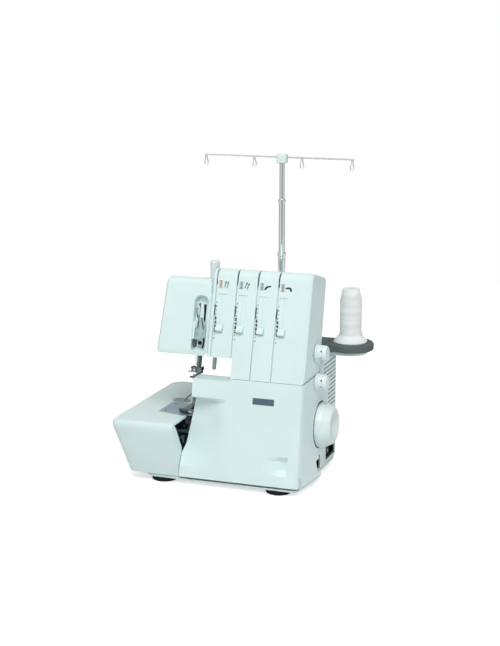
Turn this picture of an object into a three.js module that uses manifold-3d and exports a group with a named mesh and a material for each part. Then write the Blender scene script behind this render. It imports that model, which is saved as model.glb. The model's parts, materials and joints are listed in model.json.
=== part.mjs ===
// Serger overlock machine: four-thread household overlocker with a swing-out cloth plate,
// a slide-and-tilt looper cover, slide tensions and a telescopic thread stand.
// Millimetres, +Z up. X = 0 is the right side wall, Y grows towards the rear, Z = 0 is the table.
import * as THREE from 'three';
import { mergeVertices } from 'three/addons/utils/BufferGeometryUtils.js';
import Module from 'manifold-3d';

const wasm = await Module();
wasm.setup();

// ---------------------------------------------------------------- driving dimensions
const GAP = 0.3;                 // running gap between pieces that sit against each other
const WALL = 3;                  // moulded housing wall
const FOOT_HEIGHT = 6.4;
const FOOT_RADIUS = 18;
const TRAY_THICKNESS = 4.6;
const SEAM_Z = 150;              // joint between the lower casing and the upper housing
const SEAM_Y = 11.5;             // front face at that joint
const LEAN = THREE.MathUtils.degToRad(15);     // tension panel leans back
const DRAFT = THREE.MathUtils.degToRad(8.7);   // looper cover leans back
const COLUMN_WIDTH = 104;
const CASING_WIDTH = 170.4;
const CASING_REAR = 198;
const CASING_CORNER = 42;
const DECK_Z = 160;              // top of the casing behind the column
const BED_Z = 90;                // sewing surface
const ARM_Z = 176;               // underside of the arm
const HOUSING_TOP = 294;         // height of the front top edge before rounding
const HEAD_TOP = 280.5;
const HEAD_LEFT = -215;
const HEAD_RIGHT = -141;
const HOUSING_REAR = 83.5;       // rear face at the seam
const REAR_LEAN = Math.atan(0.229);
const TOP_ROUND = 12;
const REAR_ROUND = 8;
const THREAD_PITCH = 29.4;       // spacing of the four thread paths
const LAST_GROOVE = -46;
const GROOVE_WIDTH = 2.2;
const TRACK_WIDTH = 11.5;
const TENSION_TRAVEL = 40;
const SHAFT_Y = 87.5;            // main shaft and handwheel axis
const SHAFT_Z = 76;
const SHAFT_RADIUS = 6;
const WHEEL_RADIUS = 31.6;
const WHEEL_DEPTH = 21;
const DIAL_RADIUS = 11;
const DIAL_LENGTH = 16;
const COVER_WALL = 3;
const COVER_LEFT = -165.5;       // left edge above the cloth plate's side
const COVER_LOW_LEFT = -170.4;   // left edge beside the cloth plate
const COVER_SLIDE = 6;
const COVER_BOTTOM = 12.3;
const SCOOP_DEPTH = 21;
const CLOTH_RIGHT = -171.2;
const CLOTH_WALL = 2.6;
const CLOTH_HINGE_RADIUS = 12.5;
const NEEDLE_X = -170;
const NEEDLE_Y = 64;             // needle bar axis at NEEDLE_REF_Z
const NEEDLE_REF_Z = 140;
const PRESSER_X = -176.5;
const PRESSER_Y = 76;
const STAND_Y = 172;
const STAND_X = -91.3;           // middle of the four spool pins
const SPOOL_PITCH = 72.6;
const MAT_RADIUS = 33;
const MAT_THICKNESS = 10;
const MAST_X = -85.3;
const MAST_TOP = 424;
const MAST_RADII = [5.2, 4.45, 3.75];
const MAST_WALL = 0.45;
const MAST_JOINTS = [298, 374];

const TRAY_TOP = FOOT_HEIGHT + TRAY_THICKNESS;
const CASING_BOTTOM = TRAY_TOP + GAP;
const STAND_Z = DECK_Z + GAP;
const MAT_Z = STAND_Z + 5.4 + GAP;
const MAT_TOP = MAT_Z + MAT_THICKNESS;
const NEEDLE_PLATE_THICKNESS = 3;
const BED_FRAME_TOP = BED_Z - NEEDLE_PLATE_THICKNESS - GAP;
const BED_NEEDLE_Y = NEEDLE_Y - (NEEDLE_REF_Z - BED_Z) * Math.tan(LEAN);

// ---------------------------------------------------------------- materials
const plastic = (color, roughness = 0.42) => new THREE.MeshStandardMaterial({ color, roughness,
  metalness: 0 });
const metal = (color, roughness = 0.25) => new THREE.MeshStandardMaterial({ color, roughness, metalness: 1 });
const WHITE = 0xe4f4f1;
const WARM_WHITE = 0xeef5f1;
const CHARCOAL = 0x4e5a5a;
const BLACK = 0x16191a;
const STEEL = 0xaab6ba;
const CHROME = 0xd5dadb;
const CASTING = 0x5c6466;

// ---------------------------------------------------------------- geometry helpers
const SMALLEST_STEP = 0.03;       // joins and cuts drop edges shorter than this
function solid(geometry) {
  const bare = geometry.index ? geometry.toNonIndexed() : geometry.clone();
  for (const key of Object.keys(bare.attributes)) {
    if (key !== 'position') bare.deleteAttribute(key);
  }
  const merged = mergeVertices(bare, 1e-4);
  const index = merged.index.array;
  const kept = [];
  for (let i = 0; i < index.length; i += 3) {
    const [a, b, c] = [index[i], index[i + 1], index[i + 2]];
    if (a !== b && b !== c && c !== a) kept.push(a, b, c);
  }
  return new wasm.Manifold(new wasm.Mesh({
    numProp: 3,
    vertProperties: new Float32Array(merged.attributes.position.array),
    triVerts: new Uint32Array(kept),
  }));
}

function surface(body) {
  const mesh = body.simplify(SMALLEST_STEP).getMesh();
  const geometry = new THREE.BufferGeometry();
  geometry.setAttribute('position', new THREE.BufferAttribute(new Float32Array(mesh.vertProperties), 3));
  geometry.setIndex(new THREE.BufferAttribute(new Uint32Array(mesh.triVerts), 1));
  return geometry;
}

const join = (first, ...rest) => surface(rest.reduce((body, piece) => body.add(solid(piece)), solid(first)));
const cut = (first, ...tools) => surface(tools.reduce((body, tool) => body.subtract(solid(tool)),
  solid(first)));
const common = (first, second) => surface(solid(first).intersect(solid(second)));

// Closed outline from corners [x, y, fillet radius].
function outline(corners, steps = 3) {
  const points = [];
  corners.forEach(([x, y, radius = 0], i) => {
    const corner = new THREE.Vector2(x, y);
    const before = corners[(i + corners.length - 1) % corners.length];
    const after = corners[(i + 1) % corners.length];
    const toBefore = new THREE.Vector2(before[0] - x, before[1] - y).normalize();
    const toAfter = new THREE.Vector2(after[0] - x, after[1] - y).normalize();
    const half = Math.acos(THREE.MathUtils.clamp(toBefore.dot(toAfter), -1, 1)) / 2;
    if (radius <= 0) {
      points.push(corner);
      return;
    }
    const centre = corner.clone().addScaledVector(toBefore.clone().add(toAfter).normalize(),
      radius / Math.sin(half));
    const start = corner.clone().addScaledVector(toBefore, radius / Math.tan(half)).sub(centre);
    const turn = Math.PI - 2 * half;
    const sense = Math.sign(toBefore.cross(toAfter)) || 1;
    for (let k = 0; k <= steps; k += 1) {
      points.push(start.clone().rotateAround(new THREE.Vector2(), -sense * turn * k / steps).add(centre));
    }
  });
  return new THREE.Shape(points);
}

const rectangle = (x0, y0, x1, y1, radius = 0, steps = 2) => outline(
  [[x0, y0, radius], [x1, y0, radius], [x1, y1, radius], [x0, y1, radius]], steps);

// Prism of a shape along +Z from z0 to z1, with both rims bevelled inwards.
function prism(shape, z0, z1, bevel = 0, segments = 24) {
  const geometry = new THREE.ExtrudeGeometry(shape, {
    depth: z1 - z0 - 2 * bevel,
    curveSegments: segments,
    bevelEnabled: bevel > 0,
    bevelThickness: bevel,
    bevelSize: bevel,
    bevelOffset: -bevel,
    bevelSegments: 1,
  });
  return geometry.translate(0, 0, z0 + bevel);
}

const AXES = {
  x: new THREE.Matrix4().makeBasis(new THREE.Vector3(0, 1, 0), new THREE.Vector3(0, 0, 1),
    new THREE.Vector3(1, 0, 0)),
  y: new THREE.Matrix4().makeBasis(new THREE.Vector3(1, 0, 0), new THREE.Vector3(0, 0, 1),
  new THREE.Vector3(0, -1, 0)),
};
// Profile drawn in (Y, Z), swept along X; profile drawn in (X, Z), swept along Y.
const sweepX = (shape, x0, x1, bevel, segments) => prism(shape, x0, x1, bevel, segments).applyMatrix4(AXES.x);
const sweepY = (shape, y0, y1, bevel, segments) => prism(shape, -y1, -y0, bevel,
  segments).applyMatrix4(AXES.y);

function block(x0, x1, y0, y1, z0, z1) {
  return new THREE.BoxGeometry(x1 - x0, y1 - y0, z1 - z0)
    .translate((x0 + x1) / 2, (y0 + y1) / 2, (z0 + z1) / 2);
}

// Body of revolution about +Z from [radius, height] pairs.
function turned(profile, segments = 20) {
  const points = profile.map(([radius, height]) => new THREE.Vector2(radius, height));
  return new THREE.LatheGeometry(points, segments).rotateX(Math.PI / 2);
}
const rod = (radius, z0, z1, segments = 14) => turned([[0, z0], [radius, z0], [radius, z1], [0, z1]],
  segments);
const tube = (outer, inner, z0, z1, segments = 16) => turned(
  [[inner, z0], [outer, z0], [outer, z1], [inner, z1], [inner, z0]], segments);
const turnX = (geometry) => geometry.applyMatrix4(AXES.x);
const turnY = (geometry) => geometry.rotateX(Math.PI / 2);

// Skin through closed rings of equal point count, capped flat at both ends.
function loft(rings) {
  const count = rings[0].length;
  const positions = rings.flat().flatMap((p) => [p.x, p.y, p.z]);
  const index = [];
  for (let r = 0; r + 1 < rings.length; r += 1) {
    for (let i = 0; i < count; i += 1) {
      const j = (i + 1) % count;
      const [a, b, c, d] = [r * count + i, r * count + j, (r + 1) * count + j, (r + 1) * count + i];
      index.push(a, b, c, a, c, d);
    }
  }
  const flat = (ring) => ring.map((p) => new THREE.Vector2(p.x, p.y));
  const last = (rings.length - 1) * count;
  THREE.ShapeUtils.triangulateShape(flat(rings[0]), []).forEach(([a, b, c]) => index.push(a, c, b));
  THREE.ShapeUtils.triangulateShape(flat(rings.at(-1)), [])
    .forEach(([a, b, c]) => index.push(last + a, last + b, last + c));
  const geometry = new THREE.BufferGeometry();
  geometry.setAttribute('position', new THREE.Float32BufferAttribute(positions, 3));
  geometry.setIndex(index);
  return geometry;
}
const ringAt = (shape, z) => shape.getPoints(1).slice(0).map((p) => new THREE.Vector3(p.x, p.y, z));

// Sheet between two height fields y = front(x, z) and y = back(x, z) over a grid.
function sheet(xs, zs, front, back) {
  const positions = [];
  const index = [];
  const columns = zs.length;
  const layer = xs.length * columns;
  for (const side of [front, back]) {
    for (const x of xs) {
      for (const z of zs) positions.push(x, side(x, z), z);
    }
  }
  const quad = (a, b, c, d) => index.push(a, b, c, a, c, d);
  for (let i = 0; i + 1 < xs.length; i += 1) {
    for (let k = 0; k + 1 < columns; k += 1) {
      const [a, b, c, d] = [i * columns + k, (i + 1) * columns + k, (i + 1) * columns + k + 1,
        i * columns + k + 1];
      quad(a, b, c, d);
      quad(layer + a, layer + d, layer + c, layer + b);
    }
    const low = [i * columns, (i + 1) * columns];
    const high = low.map((n) => n + columns - 1);
    quad(low[0], layer + low[0], layer + low[1], low[1]);
    quad(high[0], high[1], layer + high[1], layer + high[0]);
  }
  for (let k = 0; k + 1 < columns; k += 1) {
    const end = (xs.length - 1) * columns;
    quad(k, k + 1, layer + k + 1, layer + k);
    quad(end + k, layer + end + k, layer + end + k + 1, end + k + 1);
  }
  const geometry = new THREE.BufferGeometry();
  geometry.setAttribute('position', new THREE.Float32BufferAttribute(positions, 3));
  geometry.setIndex(index);
  return geometry;
}

// Round wire along an open path.
function wire(points, radius, steps, sides = 8) {
  const path = new THREE.CatmullRomCurve3(points);
  const section = new THREE.Shape().absarc(0, 0, radius, 0, Math.PI * 2);
  return new THREE.ExtrudeGeometry(section, { steps, extrudePath: path,
    curveSegments: Math.ceil(sides / 2) });
}
const at = (x, y, z) => new THREE.Vector3(x, y, z);

// ---------------------------------------------------------------- assembly bookkeeping
const machine = new THREE.Group();
function add(name, geometry, material, parent = machine) {
  const mesh = new THREE.Mesh(geometry, material);
  mesh.name = name;
  parent.add(mesh);
  return mesh;
}
// A moving piece: drawn in machine coordinates, carried by its own pivot point.
function addAt(name, geometry, material, pivot) {
  const mesh = add(name, geometry.translate(-pivot.x, -pivot.y, -pivot.z), material);
  mesh.position.copy(pivot);
  return mesh;
}

// ---------------------------------------------------------------- reference lines
const panelY = (z) => SEAM_Y + (z - SEAM_Z) * Math.tan(LEAN);
const coverY = (z) => SEAM_Y - (SEAM_Z - z) * Math.tan(DRAFT);
const rearY = (z) => HOUSING_REAR + (z - SEAM_Z) * Math.tan(REAR_LEAN);
const grooveX = [3, 2, 1, 0].map((n) => LAST_GROOVE - n * THREAD_PITCH);
const spoolX = [-1.5, -0.5, 0.5, 1.5].map((n) => STAND_X + n * SPOOL_PITCH);
// Panel frame: X as usual, Y into the panel, Z up along the leaning panel, from the seam.
const panelMatrix = new THREE.Matrix4().makeTranslation(0, SEAM_Y, SEAM_Z)
  .multiply(new THREE.Matrix4().makeRotationX(-LEAN));
const onPanel = (geometry) => geometry.applyMatrix4(panelMatrix);
const alongPanel = (z) => (z - SEAM_Z) / Math.cos(LEAN);

// ---------------------------------------------------------------- base tray and feet
function baseTray() {
  const plan = outline([
    [-223, -6, 14], [-2, -9, 5], [6, 44, 20], [7, 74, 4], [0, 80, 4],
    [0, CASING_REAR - 2, CASING_CORNER], [-236, CASING_REAR - 2, 14],
  ]);
  const tray = prism(plan, FOOT_HEIGHT, TRAY_TOP, 1.6);
  const vents = [];
  for (let n = 0; n < 5; n += 1) vents.push(prism(rectangle(-95 + n * 12, 118, -90 + n * 12, 168), 0, 20));
  const swingRoom = block(COVER_LOW_LEFT - 1, 20, -30, 1.1, TRAY_TOP - 2, 20);
  const upstand = block(-160, -12, 5.4, 7.4, TRAY_TOP - 1, 20);
  return join(cut(tray, swingRoom, ...vents), upstand);
}
add('base_tray', baseTray(), plastic(WHITE, 0.5));

const FEET = { front_left: [-200, 11.5], front_right: [-33, 9.5], rear_left: [-200, 174],
  rear_right: [-46, 174] };
for (const [corner, [x, y]] of Object.entries(FEET)) {
  const pad = turned([
    [0, 0], [FOOT_RADIUS - 1.5, 0],
    [FOOT_RADIUS, 1.2], [FOOT_RADIUS - 1, FOOT_HEIGHT - GAP], [0, FOOT_HEIGHT - GAP],
  ], 18);
  const mesh = add(`foot_${corner}`, pad, plastic(BLACK, 0.85));
  mesh.position.set(x, y, 0);
}

// ---------------------------------------------------------------- lower casing
function casingPlan(z, flare, inset) {
  const front = coverY(z) + COVER_WALL + 0.4;
  return outline([
    [-CASING_WIDTH + inset, front, 0], [-inset, front, 10], [flare + 0.2 - inset, 52, 12],
    [flare + 0.3 - inset, 74, 3], [-inset, 80 + flare / 4, 3],
    [-inset, CASING_REAR - inset, CASING_CORNER - inset],
    [-CASING_WIDTH + inset, CASING_REAR - inset, 6 - inset],
  ], 5);
}

function lowerCasing() {
  const levels = [[CASING_BOTTOM, 6, 0], [26, 3.5, 0], [50, 0.2, 0], [DECK_Z - 3, 0.2, 0],
    [DECK_Z - 1, 0.2, 0.9], [DECK_Z, 0.2, 3]];
  let body = loft(levels.map(([z, flare, inset]) => ringAt(casingPlan(z, flare, inset), z)));
  const inner = CASING_REAR - WALL;
  const rearRound = CASING_CORNER - WALL;
  const columnLeft = -COLUMN_WIDTH + COVER_SLIDE + 0.5;
  const room = (x0, y0, y1, z1) => prism(
    outline([[x0, y0, 0], [-WALL, y0, 0], [-WALL, y1, y1 === inner ? rearRound : 0], [x0, y1, 3]]), 0, z1);
  body = cut(body,
    block(-200, columnLeft, -20, 220, BED_Z, 200),
    block(-200, 20, -20, rearY(DECK_Z) + 0.4, SEAM_Z - GAP, 200),
    block(-COLUMN_WIDTH, -6, -20, coverY(SEAM_Z) + 8, 120, 200),
    block(-200, -COLUMN_WIDTH + 20, -20, 33, 70, 200),
    block(-200, -140, -20, 80, 80, 200),
    block(-200, -CASING_WIDTH + WALL + 1, -20, 100, CASING_BOTTOM + 8, 200),
    block(-96, -36, 42, 80, 140, 152),
    block(-127, -109, 46, 60, 80, 95),
    room(-CASING_WIDTH + WALL, -30, inner, BED_Z - WALL),
    room(columnLeft + WALL, -30, inner, SEAM_Z - WALL),
    room(columnLeft + WALL, rearY(DECK_Z) + 0.4 + WALL, inner, DECK_Z - WALL),
    block(-8, 20, -20, coverY(20) + 11, 0, 24),
    block(-200, COVER_LEFT, -20, 1.6, 0, 30));
  const cup = turnX(rod(WHEEL_RADIUS + 4.5, -12, -1, 24)).translate(0, SHAFT_Y, SHAFT_Z);
  const well = turnX(rod(WHEEL_RADIUS + 1.5, -9, 12, 24)).translate(0, SHAFT_Y, SHAFT_Z);
  const shaftHole = turnX(rod(SHAFT_RADIUS + 0.5, -20, 1, 12)).translate(0, SHAFT_Y, SHAFT_Z);
  const dialHole = turnX(rod(3.4, -10, 5, 10)).translate(0, 69, 141);
  const slots = [];
  for (let n = 0; n < 12; n += 1) {
    const z = 91 + n * 5.8;
    slots.push(sweepX(rectangle(n < 5 ? 124 : 104, z, 188, z + 2.4), -16, 4));
  }
  const holes = [
    sweepX(rectangle(61.5, 15.5, 84.5, 31.5, 1.5), -12, 12),
    sweepX(rectangle(118, 18.5, 155, 35.5, 1.5), -12, 12),
    sweepY(rectangle(-158, 22, -46, 150, 6), CASING_REAR - 20, CASING_REAR + 20),
    prism(rectangle(-160, 108, -110, 186, 8), 80, 84),
  ];
  return cut(join(body, cup), well, shaftHole, dialHole, ...slots, ...holes);
}
add('lower_casing', lowerCasing(), plastic(WHITE));

function rearCover() {
  const panel = sweepY(rectangle(-157.6, 22.4, -46.4, 149.6, 5.7), CASING_REAR - 2.6, CASING_REAR, 0.6);
  const lip = cut(
    sweepY(rectangle(-155, 25, -49, 147, 4), CASING_REAR - 7, CASING_REAR - 2),
    sweepY(rectangle(-153, 27, -51, 145, 3), CASING_REAR - 8, CASING_REAR));
  const louvres = [];
  for (let n = 0; n < 8; n += 1) {
    louvres.push(sweepY(rectangle(-142, 62 + n * 7, -62, 65 + n * 7), CASING_REAR - 20, CASING_REAR + 20));
  }
  return cut(join(panel, lip), ...louvres);
}
add('rear_cover', rearCover(), plastic(WHITE));

// ---------------------------------------------------------------- looper cover
const smooth = (t) => {
  const s = THREE.MathUtils.clamp(t, 0, 1);
  return s * s * (3 - 2 * s);
};
const SCOOP_RIGHT = -108;
const SCOOP_TOP = 122;
const SCOOP_BOTTOM = 28;
function scoopDepth(x, z) {
  const inward = THREE.MathUtils.clamp((SCOOP_RIGHT - x) / (SCOOP_RIGHT - COVER_LEFT), 0, 1);
  const across = inward * (1.5 - 0.5 * inward);
  const ledge = smooth((SCOOP_TOP - z) / 7);
  const rise = smooth((z - SCOOP_BOTTOM) / (SCOOP_TOP - SCOOP_BOTTOM) * 0.9 + 0.1) * 0.75
    + 0.25 * smooth((z - SCOOP_BOTTOM) / 12);
  return SCOOP_DEPTH * across * ledge * rise;
}
const NOTCH = { left: -52, right: -17, bottom: 27, top: 53, depth: 6.5 };
function notchDepth(x, z) {
  if (x > NOTCH.right || x < NOTCH.left) return 0;
  const along = smooth((x - NOTCH.left) / (NOTCH.right - NOTCH.left));
  const height = Math.min(z - NOTCH.bottom, NOTCH.top - z) / 5;
  return NOTCH.depth * along * smooth(height);
}
const COVER_RIGHT = -0.6;
const COVER_ROUND = 5;
function coverFace(x, z) {
  const edge = x - (COVER_RIGHT - COVER_ROUND);
  const round = edge > 0 ? COVER_ROUND - Math.sqrt(Math.max(COVER_ROUND ** 2 - edge ** 2, 0)) : 0;
  return coverY(z) + scoopDepth(x, z) + notchDepth(x, z) + round;
}
const COVER_SHELF_DROP = 3;       // the cover's open top left of the column, below the seam
const COVER_SHELF_DEPTH = 24;
const HINGE_ROD_RADIUS = 1.3;
const PIVOT_COVER = at(-50, coverY(17.6) + 5.6, 17.6);

function looperCover() {
  const top = SEAM_Z - GAP;
  const xs = [COVER_LOW_LEFT, -158, -146, -134, -121, SCOOP_RIGHT, NOTCH.left, -40, -28, NOTCH.right - 0.6,
    NOTCH.right + 0.1,
    COVER_RIGHT - COVER_ROUND, COVER_RIGHT - 2, COVER_RIGHT];
  const zs = [COVER_BOTTOM, NOTCH.bottom, 34, 46, NOTCH.top, 72, 94, SCOOP_TOP - 7, SCOOP_TOP - 3.5,
    SCOOP_TOP, top];
  const back = (x, z) => coverFace(x, z) + (x > -4 ? 2.3 : COVER_WALL);
  let body = sheet(xs, zs, coverFace, back);
  const flangeRight = -COLUMN_WIDTH - GAP;
  const shelf = top - COVER_SHELF_DROP;
  const shelfRear = coverY(top) + COVER_SHELF_DEPTH;
  const flange = block(-166, flangeRight, coverY(top) + 1, shelfRear, shelf - 2.6, shelf);
  const endWall = sweepX(outline([
    [coverY(126) + 1, 123], [shelfRear - 3, 138, 3], [shelfRear - 3, shelf, 0], [coverY(top) + 1, shelf]]),
    -160, -156.6);
  const overShelf = block(-200, flangeRight, -60, 80, shelf, top + 5);
  const topRim = block(flangeRight - 1, COVER_RIGHT - 2 * COVER_SLIDE, coverY(top) + 1, coverY(top) + 6.4,
    top - 2.4, top);
  const trimLeft = sweepY(outline([
    [-190, 0], [COVER_LOW_LEFT, 0], [COVER_LOW_LEFT, 44], [COVER_LEFT, 56], [-157.5, 121], [-157.5, 136],
    [-155, 160], [-190, 160]]), -60, 80);
  const lugs = [-76, -24].map((x) => cut(
    join(turnX(rod(3.2, x, x + 4)), block(x, x + 4, -4, 0, -1.5, 3.2)),
    turnX(rod(HINGE_ROD_RADIUS + GAP, x - 1, x + 5)))
    .translate(0, PIVOT_COVER.y, PIVOT_COVER.z));
  return join(cut(join(body, flange, endWall, topRim), trimLeft, overShelf), ...lugs);
}
addAt('looper_cover', looperCover(), plastic(WHITE), PIVOT_COVER);

const sleeve = turnX(tube(2.4, HINGE_ROD_RADIUS + GAP, -71.7, -24.3, 12));
addAt('looper_cover_sleeve', sleeve.translate(0, PIVOT_COVER.y, PIVOT_COVER.z), metal(STEEL, 0.4),
  PIVOT_COVER);
const rodArm = [[-1.8, -1.3], [4.4, -1.5], [4.4, TRAY_TOP + GAP - PIVOT_COVER.z],
  [8, TRAY_TOP + GAP - PIVOT_COVER.z],
  [8, 2.2], [-2.2, 2.2, 1]];
const hingeRod = join(
  turnX(rod(HINGE_ROD_RADIUS, -92, -9.4)),
  sweepX(outline(rodArm), -95, -91.5),
  sweepX(outline(rodArm), -10, -8.4));
add('looper_cover_hinge_rod', hingeRod.translate(0, PIVOT_COVER.y, PIVOT_COVER.z), metal(STEEL, 0.35));

// ---------------------------------------------------------------- cloth plate
const PIVOT_CLOTH = at(CLOTH_RIGHT - CLOTH_HINGE_RADIUS, CASING_REAR + 1.5 - CLOTH_HINGE_RADIUS,
  TRAY_TOP + 1);
const clothLeft = (z) => -247 - (z - 12) * 0.25;
const clothFront = (z) => -8 - (z - 12) * 0.3;
function clothPlan(z, inset, wall = 0) {
  const rear = CASING_REAR + 1.5 - wall - inset;
  const right = wall ? CLOTH_RIGHT + 12 : CLOTH_RIGHT;
  return outline([
    [clothLeft(z) + wall + inset, clothFront(z) + wall + inset, 11 - wall],
    [right, clothFront(z) + wall + inset, 0],
    [right, rear, wall ? 0 : CLOTH_HINGE_RADIUS - inset],
    [clothLeft(z) + wall + inset, rear, 15 - wall],
  ], 3);
}
const NEEDLE_PLATE = [[-216, 29, 1.5], [-176, 19.6, 1.5], [-173, 24, 1], [-173, 30, 1], [-162.2, 32, 2],
  [-162.2, 62, 2], [-175, 75, 2], [-175, 79, 1], [-216, 79, 2]];

function clothPlate() {
  const skin = [[TRAY_TOP + 0.8, 0], [76, 0], [81, 0.4], [85, 1.6], [88, 3.8], [89.4, 6], [BED_Z, 8.5]];
  const hollow = [[0, 0], [75, 0], [80, 0.5], [84, 2.2], [BED_Z - CLOTH_WALL, 6]];
  let body = loft(skin.map(([z, inset]) => ringAt(clothPlan(z, inset), z)));
  body = cut(body, loft(hollow.map(([z, inset]) => ringAt(clothPlan(z, inset, CLOTH_WALL), z))));
  const web = sweepX(outline([
    [clothFront(12) + 1, TRAY_TOP + 0.8], [3, TRAY_TOP + 0.8], [3.5, 50, 1], [-2.5, 59, 3], [-9, 70, 4],
    [-17.6, 83, 4], [-24, 89], [clothFront(84) + 4, 89], [clothFront(80) + 1.5, 80]]),
    CLOTH_RIGHT - CLOTH_WALL, CLOTH_RIGHT);
  const clearance = new THREE.Shape(outline(NEEDLE_PLATE).getPoints().map((p) => {
    const centre = new THREE.Vector2(-196, 50);
    return p.clone().sub(centre).multiplyScalar(1.02).add(centre);
  }));
  const gate = block(-176, CLOTH_RIGHT + 20, 20, 82, BED_Z - 20, BED_Z + 5);
  const boss = tube(6.5, 3.4, 40, BED_Z - CLOTH_WALL + 0.5).translate(PIVOT_CLOTH.x, PIVOT_CLOTH.y, 0);
  const lowerLug = tube(6.5, 3.4, 14, 24).translate(PIVOT_CLOTH.x, PIVOT_CLOTH.y, 0);
  const rearWeb = block(PIVOT_CLOTH.x - 2, PIVOT_CLOTH.x + 2, PIVOT_CLOTH.y + 4, PIVOT_CLOTH.y + 11, 14,
    BED_Z - 4);
  body = cut(join(body, web), prism(clearance, BED_Z - 20, BED_Z + 5), gate);
  return join(body, boss, lowerLug, rearWeb);
}
addAt('cloth_plate', clothPlate(), plastic(WHITE), PIVOT_CLOTH);
const clothPin = join(rod(3, TRAY_TOP + GAP, BED_Z - CLOTH_WALL - 1), rod(7, TRAY_TOP + GAP, TRAY_TOP + 2.4));
add('cloth_plate_hinge_pin', clothPin.translate(PIVOT_CLOTH.x, PIVOT_CLOTH.y, 0), metal(STEEL, 0.35));

const gripPad = prism(new THREE.Shape().absellipse(0, 0, 13, 10, 0, Math.PI * 2), BED_Z + GAP, BED_Z + 1.8,
  0.5, 9);
addAt('cloth_plate_seam_gauge', gripPad.translate(-207, 90.8, 0), metal(STEEL, 0.45), PIVOT_CLOTH);

// ---------------------------------------------------------------- needle plate and frame
const FEED_ROWS = [-181.4, -177];
const FEED_ROW_WIDTH = 1.8;
function needlePlate() {
  const plate = prism(outline(NEEDLE_PLATE), BED_Z - NEEDLE_PLATE_THICKNESS, BED_Z);
  const needleSlot = prism(rectangle(NEEDLE_X - 4.2, BED_NEEDLE_Y - 8, NEEDLE_X + 4.2, BED_NEEDLE_Y + 5,
    1.5), 0, 200);
  const feedSlots = FEED_ROWS.map((x) => prism(rectangle(x - 0.5, 36, x + FEED_ROW_WIDTH + 0.5, 71), 0, 200));
  return cut(plate, needleSlot, ...feedSlots);
}
add('needle_plate', needlePlate(), metal(0x8fa3ab, 0.35));

const MOTOR_RADIUS = 27;
const MOTOR = at(-70, 150, 48);
const COLUMN_FRAME = [45, 76];
const ARM_FRAME = [60, 88];
const LOOPER_RIBS = [-163, -137];
const RIB_FRONT = 58;
function machineFrame() {
  const floor = block(-164, -12, 30, 150, CASING_BOTTOM, 20);
  const column = sweepY(rectangle(-92, 15, -40, 205, 5), ...COLUMN_FRAME);
  const arm = sweepY(outline([[-205, 205, 6], [-92, 205, 8], [-92, 190, 2], [-40, 190, 0], [-16, 205, 6],
    [-16, 258, 8],
    [-205, 258, 8]]), ...ARM_FRAME);
  const window = (x0, x1, z0, z1) => sweepY(rectangle(x0, z0, x1, z1, 5, 1), 30, 95);
  const bed = block(-212, -80, 34, 74, BED_FRAME_TOP - 3.4, BED_FRAME_TOP);
  const ribs = LOOPER_RIBS.map((x) => block(x, x + 6, RIB_FRONT, 74, 15, BED_FRAME_TOP - 1));
  const bearing = (x) => join(block(x, x + 12, 74, 101, 15, SHAFT_Z),
    turnX(rod(10.4, x, x + 12, 14)).translate(0, SHAFT_Y, SHAFT_Z));
  const knifeBracket = block(-124, -112, 50.3, 56, BED_FRAME_TOP - 2, 106);
  const lifterBracket = block(-147.2, -142.5, 75, 85, 180, 206);
  const motorCradle = block(-96, -46, 124, 176, 15, 34);
  const feedSlot = block(-183.5, -160, 33.4, 72, BED_FRAME_TOP - 6, BED_FRAME_TOP + 1);
  const knifeSlot = block(-165, -146, 29, 49, BED_FRAME_TOP - 6, BED_FRAME_TOP + 1);
  const needleBore = onPanel(rod(3.3 + GAP, -40, 180, 10).translate(
    NEEDLE_X, (NEEDLE_Y - panelY(NEEDLE_REF_Z)) * Math.cos(LEAN), 0));
  const presserBore = rod(3 + GAP, 190, 270, 10).translate(PRESSER_X, PRESSER_Y, 0);
  return cut(
    join(floor, column, arm, bed, ...ribs, bearing(-52), bearing(-112), knifeBracket, lifterBracket,
    motorCradle),
    window(-82, -50, 160, 186), window(-80, -30, 215, 246), window(-150, -108, 218, 245),
    window(-82, -50, 96, 140),
    feedSlot, knifeSlot, needleBore, presserBore,
    turnX(rod(SHAFT_RADIUS + GAP, -140, 0, 12)).translate(0, SHAFT_Y, SHAFT_Z),
    turnX(rod(MOTOR_RADIUS + GAP, -120, -20, 16)).translate(0, MOTOR.y, MOTOR.z));
}
add('machine_frame', machineFrame(), metal(CASTING, 0.6));

// ---------------------------------------------------------------- upper housing
// Side profile of the leaning housing, drawn in (Y, Z), shrunk by an inset.
// The top is square to the leaning panel, so it falls towards the rear.
const topZ = (top, y) => top - (y - panelY(top)) * Math.tan(LEAN);
function housingSide(inset, bottom, top, chamfer = 0) {
  const frontShift = inset / Math.cos(LEAN);
  const rearShift = inset / Math.cos(REAR_LEAN);
  const foot = chamfer ? [[panelY(bottom + chamfer) + frontShift, bottom + chamfer],
    [panelY(bottom) + frontShift + chamfer * 0.4, bottom]] : [[panelY(bottom) + frontShift, bottom]];
  const frontTop = top - inset * (Math.sin(LEAN) + Math.cos(LEAN));
  const frontY = panelY(frontTop) + frontShift;
  const rise = Math.tan(REAR_LEAN);
  const depth = (rearY(frontTop) - rearShift - frontY) / (1 + rise * Math.tan(LEAN));
  return outline([
    ...foot, [rearY(bottom) - rearShift, bottom, 0],
    [frontY + depth, frontTop - depth * Math.tan(LEAN), Math.max(REAR_ROUND - inset, 2)],
    [frontY, frontTop, Math.max(TOP_ROUND - inset, 3)],
  ], 4);
}

const HOUSING_LEFT = HEAD_RIGHT + 0.4;
const KNOB_REST_Z = 215;
const TRACK_OFFSET = 3.2 + TRACK_WIDTH / 2;     // track centre, right of its thread groove
const TRACK_LOW = alongPanel(KNOB_REST_Z) - 7;
const TRACK_HIGH = TRACK_LOW + TENSION_TRAVEL + 13;
const STEM_HALF = 0.6;
const SHOE_HALF = 3;
const SHOE_DEPTH = WALL + 2.8;
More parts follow.
